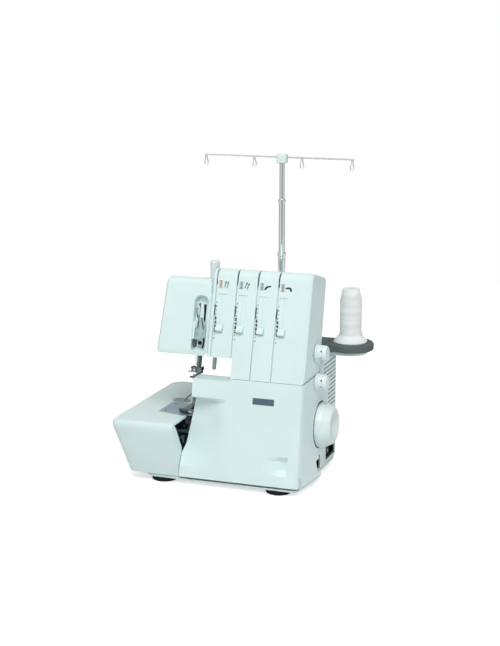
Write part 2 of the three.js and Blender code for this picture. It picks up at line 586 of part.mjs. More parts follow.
// Closed channel behind the wall that a tension slider's shoe runs in.
function sliderGuide(centre) {
  const [x0, x1] = [centre - SHOE_HALF - 0.6, centre + SHOE_HALF + 0.6];
  const ends = [[TRACK_LOW - 2, TRACK_LOW + 1.6], [TRACK_HIGH - 1.6, TRACK_HIGH + 2]];
  return join(
    block(x0, x1, SHOE_DEPTH, SHOE_DEPTH + 1.4, TRACK_LOW - 2, TRACK_HIGH + 2),
    ...ends.map(([z0, z1]) => block(x0, x1, WALL - 0.6, SHOE_DEPTH + 1.4, z0, z1)));
}
function upperHousing() {
  const bottom = SEAM_Z + GAP;
  let body = sweepX(housingSide(0, bottom, HOUSING_TOP), HOUSING_LEFT, 0, 2.2);
  const underArm = block(HOUSING_LEFT - 1, -COLUMN_WIDTH, -20, 200, 0, ARM_Z);
  const columnRoom = sweepX(housingSide(WALL, bottom - 20, HOUSING_TOP), -COLUMN_WIDTH + WALL, -WALL);
  const armRoom = sweepX(housingSide(WALL, ARM_Z + WALL, HOUSING_TOP), HOUSING_LEFT - 5, -COLUMN_WIDTH + 20);
  body = cut(body, underArm, columnRoom, armRoom);
  const ribs = grooveX.flatMap((x) => [-5.6, 3.6].map((dx) => onPanel(
    block(x + dx, x + dx + 2, WALL - 0.6, 17, alongPanel(230), alongPanel(246)))));
  const guides = grooveX.map((x) => onPanel(sliderGuide(x + TRACK_OFFSET)));
  body = join(body, ...ribs, ...guides);
  const band = cut(
    sweepX(housingSide(-3, 100, HOUSING_TOP), -1, 1),
    sweepX(housingSide(WALL + 4, 90, HOUSING_TOP), -2, 2));
  const rearHalf = block(-10, 10, panelY(HOUSING_TOP) + TOP_ROUND, 200, 90, HOUSING_TOP + 10);
  const grooveTool = cut(band, rearHalf);
  const grooves = grooveX.map((x) => grooveTool.clone().scale(GROOVE_WIDTH / 2, 1, 1).translate(x, 0, 0));
  const tracks = grooveX.flatMap((x) => {
    const centre = x + TRACK_OFFSET;
    const recess = block(centre - TRACK_WIDTH / 2, centre + TRACK_WIDTH / 2, -5, 1.2, TRACK_LOW, TRACK_HIGH);
    const slot = block(centre - STEM_HALF - GAP, centre + STEM_HALF + GAP, -2, SHOE_DEPTH, TRACK_LOW + 3,
      TRACK_HIGH - 3);
    return [onPanel(recess), onPanel(slot)];
  });
  const dialHole = turnX(rod(3.4, -10, 5, 10)).translate(0, 67.5, 182);
  return cut(body, ...grooves, ...tracks, dialHole);
}
add('upper_housing', upperHousing(), plastic(WHITE));

// Slide tension: knob, stem and inner shoe in one moulding, and the disc pair it loads.
grooveX.forEach((x, n) => {
  const group = new THREE.Group();
  group.position.set(x + TRACK_OFFSET, SEAM_Y, SEAM_Z);
  group.rotation.x = -LEAN;
  machine.add(group);
  const wedge = sweepX(outline([[0.8, -4.5], [0.8, 4.5, 0.8], [-1.2, 4.5, 0.8], [-5, -2.6, 1.2],
    [-5, -4.5, 0.9]]),
    -4.6, 4.6);
  const stem = block(-STEM_HALF, STEM_HALF, 0.5, WALL + 1, -2.4, 2.4);
  const shoe = block(-SHOE_HALF, SHOE_HALF, WALL + 0.4, SHOE_DEPTH - GAP, -4, 4);
  const knob = add(`tension_slider_${n + 1}`, join(wedge, stem, shoe), plastic(WARM_WHITE, 0.35), group);
  knob.position.z = alongPanel(KNOB_REST_Z);
});
grooveX.forEach((x, n) => {
  const half = [[0, -3.3], [1.5, -3.3], [1.5, -1.4], [6.6, -2.2], [7.2, -1.5], [2, -0.4]];
  const mirrored = half.map(([radius, height]) => [radius, -height]).reverse();
  const pair = turned([...half, ...mirrored], 10);
  add(`tension_discs_${n + 1}`, onPanel(turnX(pair).translate(x, 10.6, alongPanel(238))), metal(CHROME, 0.2));
});

// ---------------------------------------------------------------- face cover
const PIVOT_REGULATOR = at(-157, 96, topZ(HEAD_TOP, 96));
function faceCover() {
  const taper = (geometry) => {
    const p = geometry.attributes.position;
    for (let i = 0; i < p.count; i += 1) {
      const share = THREE.MathUtils.clamp((HEAD_RIGHT - 8 - p.getX(i)) / (HEAD_RIGHT - 8 - HEAD_LEFT), 0, 1);
      p.setX(i, p.getX(i) + (p.getZ(i) - ARM_Z) * 0.068 * share);
    }
    return geometry;
  };
  const skin = taper(sweepX(housingSide(0.4, ARM_Z, HEAD_TOP, 7), HEAD_LEFT, HEAD_RIGHT, 3.5));
  const hollow = taper(sweepX(housingSide(WALL + 0.4, ARM_Z - 12, HEAD_TOP), HEAD_LEFT + WALL,
    HEAD_RIGHT + 5));
  const low = alongPanel(183);
  const high = alongPanel(256);
  const pocketShape = outline([[-164.5, low, 2], [-144, low, 2], [-144, high, 9], [-164.5, high, 9]]);
  const pocket = onPanel(sweepY(pocketShape, -6, 10));
  const cup = onPanel(sweepY(outline([[-167, low - 3, 3], [HEAD_RIGHT, low - 3, 0], [HEAD_RIGHT, high + 3, 0],
    [-167, high + 3, 10]]), 2, 12.6));
  const slots = [[-152.6, 220, -150, 243], [-161.5, 200, -158.5, 246], [-147.6, 183, -145.2, 198]].map(
    ([x0, z0, x1, z1]) => onPanel(sweepY(rectangle(x0, alongPanel(z0), x1, alongPanel(z1), 1.2), -2, 20)));
  const regulatorHole = rod(6.9, 240, 300).translate(PIVOT_REGULATOR.x, PIVOT_REGULATOR.y, 0);
  const inside = common(join(cut(skin, hollow), cup), skin);
  const lifterSlot = block(-156.5, -144.5, 80, 125, 170, 200);
  return cut(inside, pocket, ...slots, regulatorHole, lifterSlot);
}
add('face_cover', faceCover(), plastic(WHITE));

// Cover of the take-up: flat plate with a tab and screw below, folded forward along its left edge.
const takeUpPlate = sweepY(outline([[-156, alongPanel(188), 2], [-149.4, alongPanel(188), 2],
  [-149, alongPanel(197), 0], [-147, alongPanel(198), 1], [-146.6, alongPanel(215), 3],
  [-154, alongPanel(228), 1.5],
  [-158, alongPanel(225), 1], [-158, alongPanel(213), 0], [-163.4, alongPanel(213), 1],
  [-163.4, alongPanel(197), 0],
  [-156, alongPanel(197), 0]]), 6.6, 7.8);
const takeUpFold = block(-163.4, -162.4, 3, 7.2, alongPanel(197.5), alongPanel(211));
const takeUpScrew = turnY(turned([[0, -0.8], [2.4, -0.8], [2.4, 1.4], [1.9, 2], [0, 2]], 10))
  .translate(-152.6, 6.6, alongPanel(193));
add('take_up_cover', onPanel(join(takeUpPlate, takeUpFold, takeUpScrew)), metal(CHROME, 0.2));
const PIVOT_TAKE_UP = at(-160, ARM_FRAME[0] - 4 - GAP, 214);
const takeUpLever = sweepX(outline([[-17, 20, 1.5], [-15, 27, 1.5], [-11, 27, 2], [-10, 15, 4],
  [3.2, 3.6, 2.4],
  [3.2, -3.6, 2.4], [-7, -3, 4], [-12.5, 6, 4]]), -161.1, -158.9);
const takeUpHub = turnX(rod(3, -158.9 - 0.2, -152));
addAt('thread_take_up', join(takeUpLever, takeUpHub).translate(0, PIVOT_TAKE_UP.y, PIVOT_TAKE_UP.z),
  metal(CHROME, 0.2),
  PIVOT_TAKE_UP);

// ---------------------------------------------------------------- needle and presser mechanism
// Both bars lean with the panel; each group carries its own axis along local Z.
function leaningGroup(x, y, z) {
  const group = new THREE.Group();
  group.position.set(x, y, z);
  group.rotation.x = -LEAN;
  machine.add(group);
  return group;
}
const needleGroup = leaningGroup(NEEDLE_X, NEEDLE_Y, NEEDLE_REF_Z);
add('needle_bar', rod(3.3, -2, 98, 14), metal(CHROME, 0.18), needleGroup);
// Clamp block with its three set screws and the two seated needles.
function needleClamp() {
  const body = prism(rectangle(-6.5, -5.5, 6.5, 5, 1.5), -10.5, -2 - GAP);
  const needles = [-2.9, 2.9].map((x) => turned(
    [[0, -38], [0.45, -35], [0.45, -18], [1, -16.5], [1, -4], [0, -4]], 6).translate(x, 0, 0));
  const sideScrew = turnX(rod(1.5, -12, -5.5, 8)).translate(0, -0.5, -6.2);
  const frontScrews = [-2.9, 2.9].map((x) => turnY(rod(1.6, 4, 8, 8)).translate(x, 0, -6.2));
  return join(body, ...needles, sideScrew, ...frontScrews);
}
add('needle_clamp', needleClamp(), metal(0x9aa5a8, 0.3), needleGroup);

const FOOT_LEFT = -184;
const FOOT_RIGHT = -161.8;
const PRESSER_PIVOT = at(PRESSER_X, PRESSER_Y, BED_Z);
addAt('presser_bar', rod(3, 108, 252, 14).translate(PRESSER_X, PRESSER_Y, 0), metal(CHROME, 0.2),
  PRESSER_PIVOT);
function presserFoot() {
  const sole = sweepX(outline([[24, 97.5, 0.8], [28, 91, 3], [82, 91, 1], [82, 93.4, 1], [30, 93.6, 2],
    [25.5, 99, 0.8]]),
    FOOT_LEFT, FOOT_RIGHT);
  const shank = sweepX(outline([[64, 92.5], [84, 92.5], [81, 108 - GAP, 1], [71, 108 - GAP, 1]]),
    PRESSER_X - 4, PRESSER_X + 4);
  const slot = block(NEEDLE_X - 4.4, NEEDLE_X + 4.4, BED_NEEDLE_Y - 8, BED_NEEDLE_Y + 7, 80, 100);
  return cut(join(sole, shank), slot);
}
addAt('presser_foot', presserFoot(), metal(0x8d989b, 0.3), PRESSER_PIVOT);
const PIVOT_LIFTER = at(-150, 80, 186);
function presserLifter() {
  const hub = turnX(rod(5, -153, -147.5, 14)).translate(0, PIVOT_LIFTER.y, PIVOT_LIFTER.z);
  const tab = sweepX(outline([[76, 186, 0], [84, 186, 0], [80, 162, 6], [75, 144, 2], [69.5, 145, 2],
    [72.5, 162, 6]]),
    -152.6, -147.9, 0.8);
  return join(hub, tab);
}
addAt('presser_foot_lifter', presserLifter(), plastic(WARM_WHITE, 0.45), PIVOT_LIFTER);
const regulator = turned([[0, -10], [4.5, -10], [4.5, -6], [6.5, -5], [6.6, 25], [5.6, 27], [0, 27]], 16);
add('pressure_regulator', regulator, plastic(WARM_WHITE, 0.45)).position.copy(PIVOT_REGULATOR);

// ---------------------------------------------------------------- loopers, knives and feed
const LOWER_LOOPER_Y = [43.6, 45.6];
const UPPER_LOOPER_Y = [40.6, 42.4];
const KNIFE_Y = [31, 39.5];
const PIVOT_LOWER = at(-134, LOWER_LOOPER_Y[0], 34);
function hub(pivot, radius, from) {
  return turnY(rod(radius, -RIB_FRONT + GAP, -from, 14)).translate(pivot.x, 0, pivot.z);
}
const lowerLooper = sweepY(outline([[-129, 29, 5], [-129, 39, 5], [-139, 44, 8], [-146, 66, 14],
  [-156, 77, 8],
  [-174, 78.4, 0], [-173, 76.8, 0], [-158, 72, 8], [-152, 62, 12], [-146, 40, 8], [-139, 29, 5]]),
  ...LOWER_LOOPER_Y);
addAt('lower_looper', join(lowerLooper, hub(PIVOT_LOWER, 3.2, LOWER_LOOPER_Y[0] + 0.5)), metal(CHROME, 0.2),
  PIVOT_LOWER);
const PIVOT_UPPER = at(-160, UPPER_LOOPER_Y[0], 40);
const upperLooper = sweepY(outline([[-157, 36, 2], [-156, 46, 4], [-153, 58, 6], [-153, 70, 6],
  [-158, 80, 6], [-170, 84, 0],
  [-169, 82, 0], [-160, 76, 5], [-157.5, 68, 5], [-158, 56, 5], [-163, 46, 3], [-163, 36, 2]]),
  ...UPPER_LOOPER_Y);
addAt('upper_looper', join(upperLooper, hub(PIVOT_UPPER, 2.4, UPPER_LOOPER_Y[0] + 0.5)), metal(CHROME, 0.2),
  PIVOT_UPPER);

const CUT_LINE = -160;
const knifeBlade = block(CUT_LINE - 1.4, CUT_LINE, ...KNIFE_Y, 70, BED_Z + 0.3);
const knifeHolder = block(CUT_LINE - 0.5, -153, ...KNIFE_Y, 60, 76);
const knifePost = block(-157, -152, ...KNIFE_Y, 20 + GAP, 62);
add('lower_knife', join(knifeBlade, knifeHolder, knifePost), metal(STEEL, 0.3));

const PIVOT_KNIFE = at(-118, 41, 100);
const upperKnife = join(
  sweepY(outline([[-123, 95, 4], [-113, 95, 4], [-113, 105, 4], [-140, 113, 5], [-158, 113, 2],
  [-158, 105, 2],
    [-143, 104, 5]]), 34, 42),
  block(CUT_LINE + GAP, CUT_LINE + 2.4, 31.5, 38, 84, 112),
  turnY(rod(3.4, -50, -41, 14)).translate(PIVOT_KNIFE.x, 0, PIVOT_KNIFE.z));
addAt('upper_knife', upperKnife, metal(STEEL, 0.28), PIVOT_KNIFE);

const PIVOT_FEED = at(-178, RIB_FRONT, 75);
function feedTeeth(x) {
  const teeth = [];
  for (let y = 64; y > 42; y -= 3) teeth.push([y, 90.5], [y - 2.4, 89.2]);
  return sweepX(outline([[40, 76], [66, 76], ...teeth, [40, 89.2]]), x, x + FEED_ROW_WIDTH);
}
const feedDog = join(
  ...FEED_ROWS.map(feedTeeth),
  block(FEED_ROWS[0], FEED_ROWS[1] + FEED_ROW_WIDTH, 42, 64, 72, 78),
  block(FEED_ROWS[0], LOOPER_RIBS[0] + 5, 52, RIB_FRONT - GAP, 72, 77));
addAt('feed_dog', feedDog, metal(STEEL, 0.35), PIVOT_FEED);

// ---------------------------------------------------------------- drive
const PIVOT_WHEEL = at(0, SHAFT_Y, SHAFT_Z);
const shaftGroup = new THREE.Group();
shaftGroup.position.copy(PIVOT_WHEEL);
machine.add(shaftGroup);
const eccentric = (x, offset, angle) => turnX(rod(8, x, x + 6, 12))
  .translate(0, offset * Math.cos(angle), offset * Math.sin(angle));
const MAIN_PULLEY_RADIUS = 24;
const MOTOR_PULLEY_RADIUS = 8;
const pulleyProfile = (radius, bore) => [[bore, 0], [radius + 2, 0], [radius, 1.4], [radius, 8.6],
  [radius + 2, 10],
  [bore, 10], [bore, 0]];
const mainShaft = join(
  turnX(rod(SHAFT_RADIUS, -146, 3, 12)),
  eccentric(-145, 1.8, 0.6),
  eccentric(-128, 1.8, 2.4),
  turnX(turned(pulleyProfile(MAIN_PULLEY_RADIUS, 3), 18)).translate(-34, 0, 0));
add('main_shaft', mainShaft, metal(STEEL, 0.3), shaftGroup);
function handwheel() {
  const body = turned([
    [SHAFT_RADIUS + GAP, -1], [WHEEL_RADIUS - 2, -1], [WHEEL_RADIUS, 1], [WHEEL_RADIUS, 7],
    [WHEEL_RADIUS - 1.2, 10],
    [25.6, WHEEL_DEPTH - 2], [23.6, WHEEL_DEPTH], [20.5, WHEEL_DEPTH], [18.4, WHEEL_DEPTH - 2],
    [11, WHEEL_DEPTH - 8],
    [8.6, WHEEL_DEPTH - 5], [0, WHEEL_DEPTH - 5], [0, 4],
    [SHAFT_RADIUS + GAP, 4], [SHAFT_RADIUS + GAP, -1],
  ], 26);
  return turnX(body);
}
add('handwheel', handwheel(), plastic(WARM_WHITE, 0.4), shaftGroup);

const motorBody = turned([[0, -30], [9, -30], [9, -27], [25, -27], [MOTOR_RADIUS, -24], [MOTOR_RADIUS, 24],
  [25, 27], [9, 27], [9, 29], [0, 29]], 16);
const motorVents = [0, 1, 2].map((n) => block(-20, 20, -2, 2, 25, 30).rotateZ(n * Math.PI / 3));
add('drive_motor', turnX(cut(motorBody, ...motorVents)).translate(MOTOR.x, MOTOR.y, MOTOR.z),
  metal(0x3f4547, 0.5));
const motorShaft = join(
  turnX(rod(3, MOTOR.x + 29 + GAP, -23, 10)),
  turnX(turned(pulleyProfile(MOTOR_PULLEY_RADIUS, 2), 12)).translate(-34, 0, 0));
addAt('motor_pulley', motorShaft.translate(0, MOTOR.y, MOTOR.z), metal(STEEL, 0.35), MOTOR);

function beltLoop(clear) {
  const span = new THREE.Vector2(MOTOR.y - SHAFT_Y, MOTOR.z - SHAFT_Z);
  const along = Math.atan2(span.y, span.x);
  const [big, small] = [MAIN_PULLEY_RADIUS + clear, MOTOR_PULLEY_RADIUS + clear];
  const swing = Math.acos((big - small) / span.length());
  const shape = new THREE.Shape();
  shape.absarc(SHAFT_Y, SHAFT_Z, big, along + swing, along - swing + 2 * Math.PI, false);
  shape.absarc(MOTOR.y, MOTOR.z, small, along - swing, along + swing, false);
  return shape;
}
const belt = cut(sweepX(beltLoop(GAP + 1.5), -32.2, -25.8, 0, 9), sweepX(beltLoop(GAP), -40, -20, 0, 9));
add('timing_belt', belt, plastic(BLACK, 0.8));

// ---------------------------------------------------------------- controls on the right side
function dial() {
  const body = turned([
    [0, -8], [3, -8], [3, 0.9], [DIAL_RADIUS + 2, 0.9], [DIAL_RADIUS + 2, 2.6], [DIAL_RADIUS + 1.2, 3.4],
    [DIAL_RADIUS, 3.6],
    [DIAL_RADIUS - 0.5, DIAL_LENGTH - 2], [DIAL_RADIUS - 2, DIAL_LENGTH], [0, DIAL_LENGTH],
  ], 20);
  const flutes = [];
  for (let n = 0; n < 8; n += 1) {
    flutes.push(rod(2.6, 6, 30, 5).translate(DIAL_RADIUS + 1.5, 0, 0).rotateZ(n * Math.PI / 4));
  }
  return turnX(cut(body, ...flutes));
}
const PIVOT_FEED_DIAL = at(0, 67.5, 182);
const PIVOT_LENGTH_DIAL = at(0, 69, 141);
for (const [name, pivot] of [['differential_feed_dial', PIVOT_FEED_DIAL],
  ['stitch_length_dial', PIVOT_LENGTH_DIAL]]) {
  const mesh = add(name, dial(), plastic(WARM_WHITE, 0.4));
  mesh.position.copy(pivot);
}

function socketPanel(y0, z0, y1, z1) {
  const rim = sweepX(rectangle(y0 + GAP, z0 + GAP, y1 - GAP, z1 - GAP, 1.3), -10, -0.5);
  return rim;
}
const inlet = cut(socketPanel(61.5, 15.5, 84.5, 31.5), sweepX(rectangle(65, 18.5, 81, 28.5, 2), -8, 2));
const inletPins = [69, 73, 77].map((y) => turnX(rod(1.1, -9, -2.4, 10)).translate(0, y, 23.5));
add('foot_control_socket', join(inlet, ...inletPins), plastic(BLACK, 0.45));
const switchFrame = cut(socketPanel(118, 18.5, 155, 35.5),
  sweepX(rectangle(121, 21, 134, 33, 1), -9, 2), sweepX(rectangle(138, 21, 152, 33, 2), -8, 2));
const powerPins = [142, 148].map((y) => turnX(rod(1.3, -9, -2.4, 10)).translate(0, y, 27));
add('power_inlet', join(switchFrame, ...powerPins), plastic(BLACK, 0.45));
const PIVOT_SWITCH = at(-4.4, 127.5, 27);
const rocker = sweepX(rectangle(-5.2, -5.4, 5.2, 5.4, 0.8), -3.2, 2, 0.3);
const rockerTop = rocker.attributes.position;
for (let i = 0; i < rockerTop.count; i += 1) {
  if (rockerTop.getX(i) > 0) rockerTop.setX(i, rockerTop.getX(i) + 1 + rockerTop.getY(i) * 0.12);
}
addAt('power_switch', rocker.translate(PIVOT_SWITCH.x, PIVOT_SWITCH.y, PIVOT_SWITCH.z), plastic(BLACK, 0.35),
  PIVOT_SWITCH);

// ---------------------------------------------------------------- spool stand and thread guides
const stadium = (radius, left, right, y) => {
  const shape = new THREE.Shape();
  shape.absarc(right, y, radius, -Math.PI / 2, Math.PI / 2, false);
  shape.absarc(left, y, radius, Math.PI / 2, 3 * Math.PI / 2, false);
  return shape;
};
const PIN_RADIUS = 2.8;
const mastBore = () => rod(MAST_RADII[0] + GAP, 100, 300, 16).translate(MAST_X, STAND_Y, 0);
// Moulded stand plate with its four spool pins.
function spoolStand() {
  const plate = prism(stadium(25, spoolX[0], spoolX[3], STAND_Y), STAND_Z, STAND_Z + 5.4, 0.8, 6);
  const pins = spoolX.map((x) => turned([[0, STAND_Z + 2], [PIN_RADIUS, STAND_Z + 2],
    [PIN_RADIUS, MAT_TOP + 62],
    [1.4, MAT_TOP + 64.5], [0, MAT_TOP + 64.5]], 8).translate(x, STAND_Y, 0));
  return cut(join(plate, ...pins), mastBore());
}
add('spool_stand', spoolStand(), plastic(WHITE, 0.5));
function spoolMat() {
  const discs = spoolX.map((x) => turned([[0, MAT_Z], [MAT_RADIUS, MAT_Z], [MAT_RADIUS, MAT_TOP - 1.4],
    [MAT_RADIUS - 1.4, MAT_TOP], [0, MAT_TOP]], 20).translate(x, STAND_Y, 0));
  const bridge = prism(outline([[spoolX[0], STAND_Y - 30], [spoolX[3], STAND_Y - 30],
    [spoolX[3], STAND_Y + 17],
    [spoolX[0], STAND_Y + 17]]), MAT_Z, MAT_TOP);
  const pinHoles = spoolX.map((x) => rod(PIN_RADIUS + GAP, 100, 300, 8).translate(x, STAND_Y, 0));
  return cut(join(bridge, ...discs), mastBore(), ...pinHoles);
}
add('spool_mat', spoolMat(), plastic(CHARCOAL, 0.9));
const spoolProfile = [[PIN_RADIUS + 0.5, 0], [23.8, 0], [23.8, 1.6], [18, 8.4], [15.5, 13], [15.5, 60],
  [12.4, 75], [11.4, 76.4], [PIN_RADIUS + 0.5, 76.4], [PIN_RADIUS + 0.5, 0]];
spoolX.forEach((x, n) => {
  const spool = add(`thread_spool_${n + 1}`, turned(spoolProfile, 16), plastic(0xf2f6f4, 0.8));
  spool.position.set(x, STAND_Y, MAT_TOP + GAP);
});

const mastGroup = new THREE.Group();
mastGroup.position.set(MAST_X, STAND_Y, 0);
machine.add(mastGroup);
function mastSection(radius, z0, z1, collar) {
  const inner = radius - MAST_WALL;
  const rim = collar ? [[radius + 0.9, z1 - 4.5], [radius + 0.9, z1 - 0.6], [radius, z1]] : [[radius, z1]];
  const foot = [[inner, z0], [radius, z0]];
  const lead = collar ? [[radius, z1 - 5.4]] : [];
  return turned([...foot, ...lead, ...rim, [inner, z1], [inner, z0]], 16);
}
add('mast_lower_tube', mastSection(MAST_RADII[0], DECK_Z + GAP, MAST_JOINTS[0], true), metal(CHROME, 0.12),
  mastGroup);
const middle = add('mast_middle_tube', mastSection(MAST_RADII[1], -80, 0, true), metal(CHROME, 0.12),
  mastGroup);
middle.position.z = MAST_JOINTS[1];
const topGroup = new THREE.Group();
topGroup.position.z = MAST_JOINTS[1];
mastGroup.add(topGroup);
add('mast_upper_tube', rod(MAST_RADII[2], -56, MAST_TOP - MAST_JOINTS[1], 16), metal(CHROME, 0.12), topGroup);
const BAR_Z = 432.5;
const BAR_RADIUS = 1.15;
const guideGroup = new THREE.Group();
guideGroup.position.set(MAST_X, STAND_Y, BAR_Z);
machine.add(guideGroup);
function guideClip() {
  const shell = prism(rectangle(-7.5, -5.5, 7.5, 5.5, 2.5), -8.3, 4.6, 1);
  return cut(shell, turnX(rod(1.8, -20, 20, 16)), rod(3.95, -12, -3, 20));
}
add('guide_bar_clip', guideClip(), plastic(WARM_WHITE, 0.5), guideGroup);
function guideBar() {
  const eyes = spoolX.map((x) => x - MAST_X);
  const bar = turnX(rod(BAR_RADIUS, eyes[0] - BAR_RADIUS, eyes[3] + BAR_RADIUS, 10));
  const loops = eyes.map((x, n) => {
    const side = n < 2 ? 1 : -1;
    return wire([at(x, 0, 0), at(x, 0, -3.5), at(x - side * 0.4, 0, -8), at(x - side * 1.4, 0, -12.5),
      at(x + side * 1.2, 0, -15.6),
      at(x + side * 4, 0, -12.4), at(x + side * 3.4, 0, -8), at(x + side * 2.2, 0, -4),
      at(x + side * 2, 0, -0.2)], 0.8, 10, 6);
  });
  return join(bar, ...loops);
}
add('thread_guide_bar', guideBar(), metal(CHROME, 0.2), guideGroup);

// ---------------------------------------------------------------- origin at the middle of the footprint
const bounds = new THREE.Box3().setFromObject(machine);
const middleOf = bounds.getCenter(new THREE.Vector3());
machine.position.set(-middleOf.x, -middleOf.y, -bounds.min.z);

export default machine;
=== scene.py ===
"""Looks of a household serger overlock machine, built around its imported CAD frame.

Millimetre helpers use the machine's own axes: X = 0 is the right side wall, Y grows towards
the rear, Z = 0 is the table. Everything handed to Blender is in metres, in the row frame.
"""
import json
import math

import bmesh
import bpy
from mathutils import Matrix, Vector


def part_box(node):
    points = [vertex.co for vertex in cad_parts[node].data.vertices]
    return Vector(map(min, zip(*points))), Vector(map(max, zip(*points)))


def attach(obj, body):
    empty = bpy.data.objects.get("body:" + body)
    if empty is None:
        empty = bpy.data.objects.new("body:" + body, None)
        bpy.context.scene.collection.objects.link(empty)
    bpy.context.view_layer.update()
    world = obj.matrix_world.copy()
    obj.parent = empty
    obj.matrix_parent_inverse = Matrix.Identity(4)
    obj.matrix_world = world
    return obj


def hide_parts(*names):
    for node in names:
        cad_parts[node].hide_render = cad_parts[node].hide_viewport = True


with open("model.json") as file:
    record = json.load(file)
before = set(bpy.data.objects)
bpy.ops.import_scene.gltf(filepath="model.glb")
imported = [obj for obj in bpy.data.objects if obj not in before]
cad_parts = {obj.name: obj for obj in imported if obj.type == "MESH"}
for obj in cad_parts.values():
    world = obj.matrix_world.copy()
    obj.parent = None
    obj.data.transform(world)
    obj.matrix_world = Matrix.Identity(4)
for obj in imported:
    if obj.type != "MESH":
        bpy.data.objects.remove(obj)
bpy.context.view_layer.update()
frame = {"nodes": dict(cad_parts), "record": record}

BODIES = frame["record"]["behaviour"]["bodies"]
BODY_OF = {node: body for body, nodes in BODIES.items() for node in nodes}
JOINTS = {joint["name"]: joint for joint in frame["record"]["behaviour"]["joints"]}
MM = 0.001

# The machine's own origin, found from the handwheel joint on the wall at X = 0.
HANDWHEEL = (87.5, 76.0)     # its axis, (Y, Z)
ORIGIN = Vector(JOINTS["handwheel_turn"]["pos_m"]) - Vector((0, *HANDWHEEL)) * MM


def at(x, y, z):
    """A point of the machine in millimetres, as a row frame vector in metres."""
    return Vector((x, y, z)) * MM + ORIGIN


# ---------------------------------------------------------------- sizes shared with the CAD model
SEAM = (11.5, 150.0)          # front edge of the seam between casing and housing, (Y, Z)
LEAN = math.radians(15)       # of the tension panel
DRAFT = math.radians(8.7)     # of the looper cover's front
GROOVES = [-46 - 29.4 * n for n in (3, 2, 1, 0)]
TRACK_OFFSET = 8.95           # centre of a slider's track, right of its thread groove
COLUMN_LEFT = -104            # left side of the column under the arm
KNOB_REST_Z = 215             # rest height of the tension sliders
DISC_Z = 238                  # height of the tension discs
POCKET_FLOOR = -10            # floor of the take-up pocket, below the panel face
PLATE_FACE = -6.6             # face of the take-up cover in it
PLATE_TOP = 90                # top of the needle plate
CASING_REAR = 198             # face that the rear screws sit on
TRAY_UNDERSIDE = 6.4
SOCKETS = ((61.5, 15.5, 84.5, 31.5), (118, 18.5, 155, 35.5))     # holes in the side wall, (Y, Z) to (Y, Z)

# ---------------------------------------------------------------- printed signs
NEEDLE_SIGN_TURN = (80, 70)     # how far the signs of the two needle threads lean, in degrees
LOOPER_SIGN = [
    [(-5, -3.6), (-2.4, -4.4), (-0.6, -1.4), (4.8, 0.4), (4.6, 2), (-1.2, 1.2), (-3.4, -0.6)],
    [(-4.8, 0.6), (-4.4, -1.2), (0.8, -1), (2.8, -4.6), (5.2, -3.4), (3.4, 0.6), (0.6, 1.6)],
]
INK = 0.04                    # how far printed ink stands off its surface
FONT_SIZE = 1.38              # size of the font for figures 1 high


def plane(origin, right, up):
    """Placement matrix of a flat face: local X to the right, Y up, Z out of the face, in millimetres."""
    right, up = Vector(right).normalized(), Vector(up).normalized()
    out = right.cross(up)
    axes = Matrix((right, up, out)).transposed().to_4x4()
    return Matrix.Translation(at(*origin)) @ axes @ Matrix.Scale(MM, 4)


PANEL = plane((0, SEAM[0], SEAM[1]), (1, 0, 0), (0, math.sin(LEAN), math.cos(LEAN)))
COVER = plane((0, SEAM[0], SEAM[1]), (1, 0, 0), (0, math.sin(DRAFT), math.cos(DRAFT)))
SIDE = plane((0, 0, 0), (0, 1, 0), (0, 0, 1))
BAR = plane((-170, 64, 140), (1, 0, 0), (0, math.cos(LEAN), -math.sin(LEAN)))
FRONT = plane((0, 0, 0), (1, 0, 0), (0, 0, 1))
BED = plane((0, 0, PLATE_TOP), (1, 0, 0), (0, 1, 0))


def up_panel(z):
    """Distance up the leaning tension panel at height z."""
    return (z - SEAM[1]) / math.cos(LEAN)


def shift(x, y, z=0.0):
    """Matrix that moves by three distances."""
    return Matrix.Translation((x, y, z))


def turn(degrees, axis):
    """Matrix that turns about a local axis."""
    return Matrix.Rotation(math.radians(degrees), 4, axis)


def new_node(tree, kind, **inputs):
    """A new shader node with some inputs set, where _ stands for a space in an input's name."""
    node = tree.nodes.new(kind)
    for name, value in inputs.items():
        node.inputs[name.replace("_", " ")].default_value = value
    return node


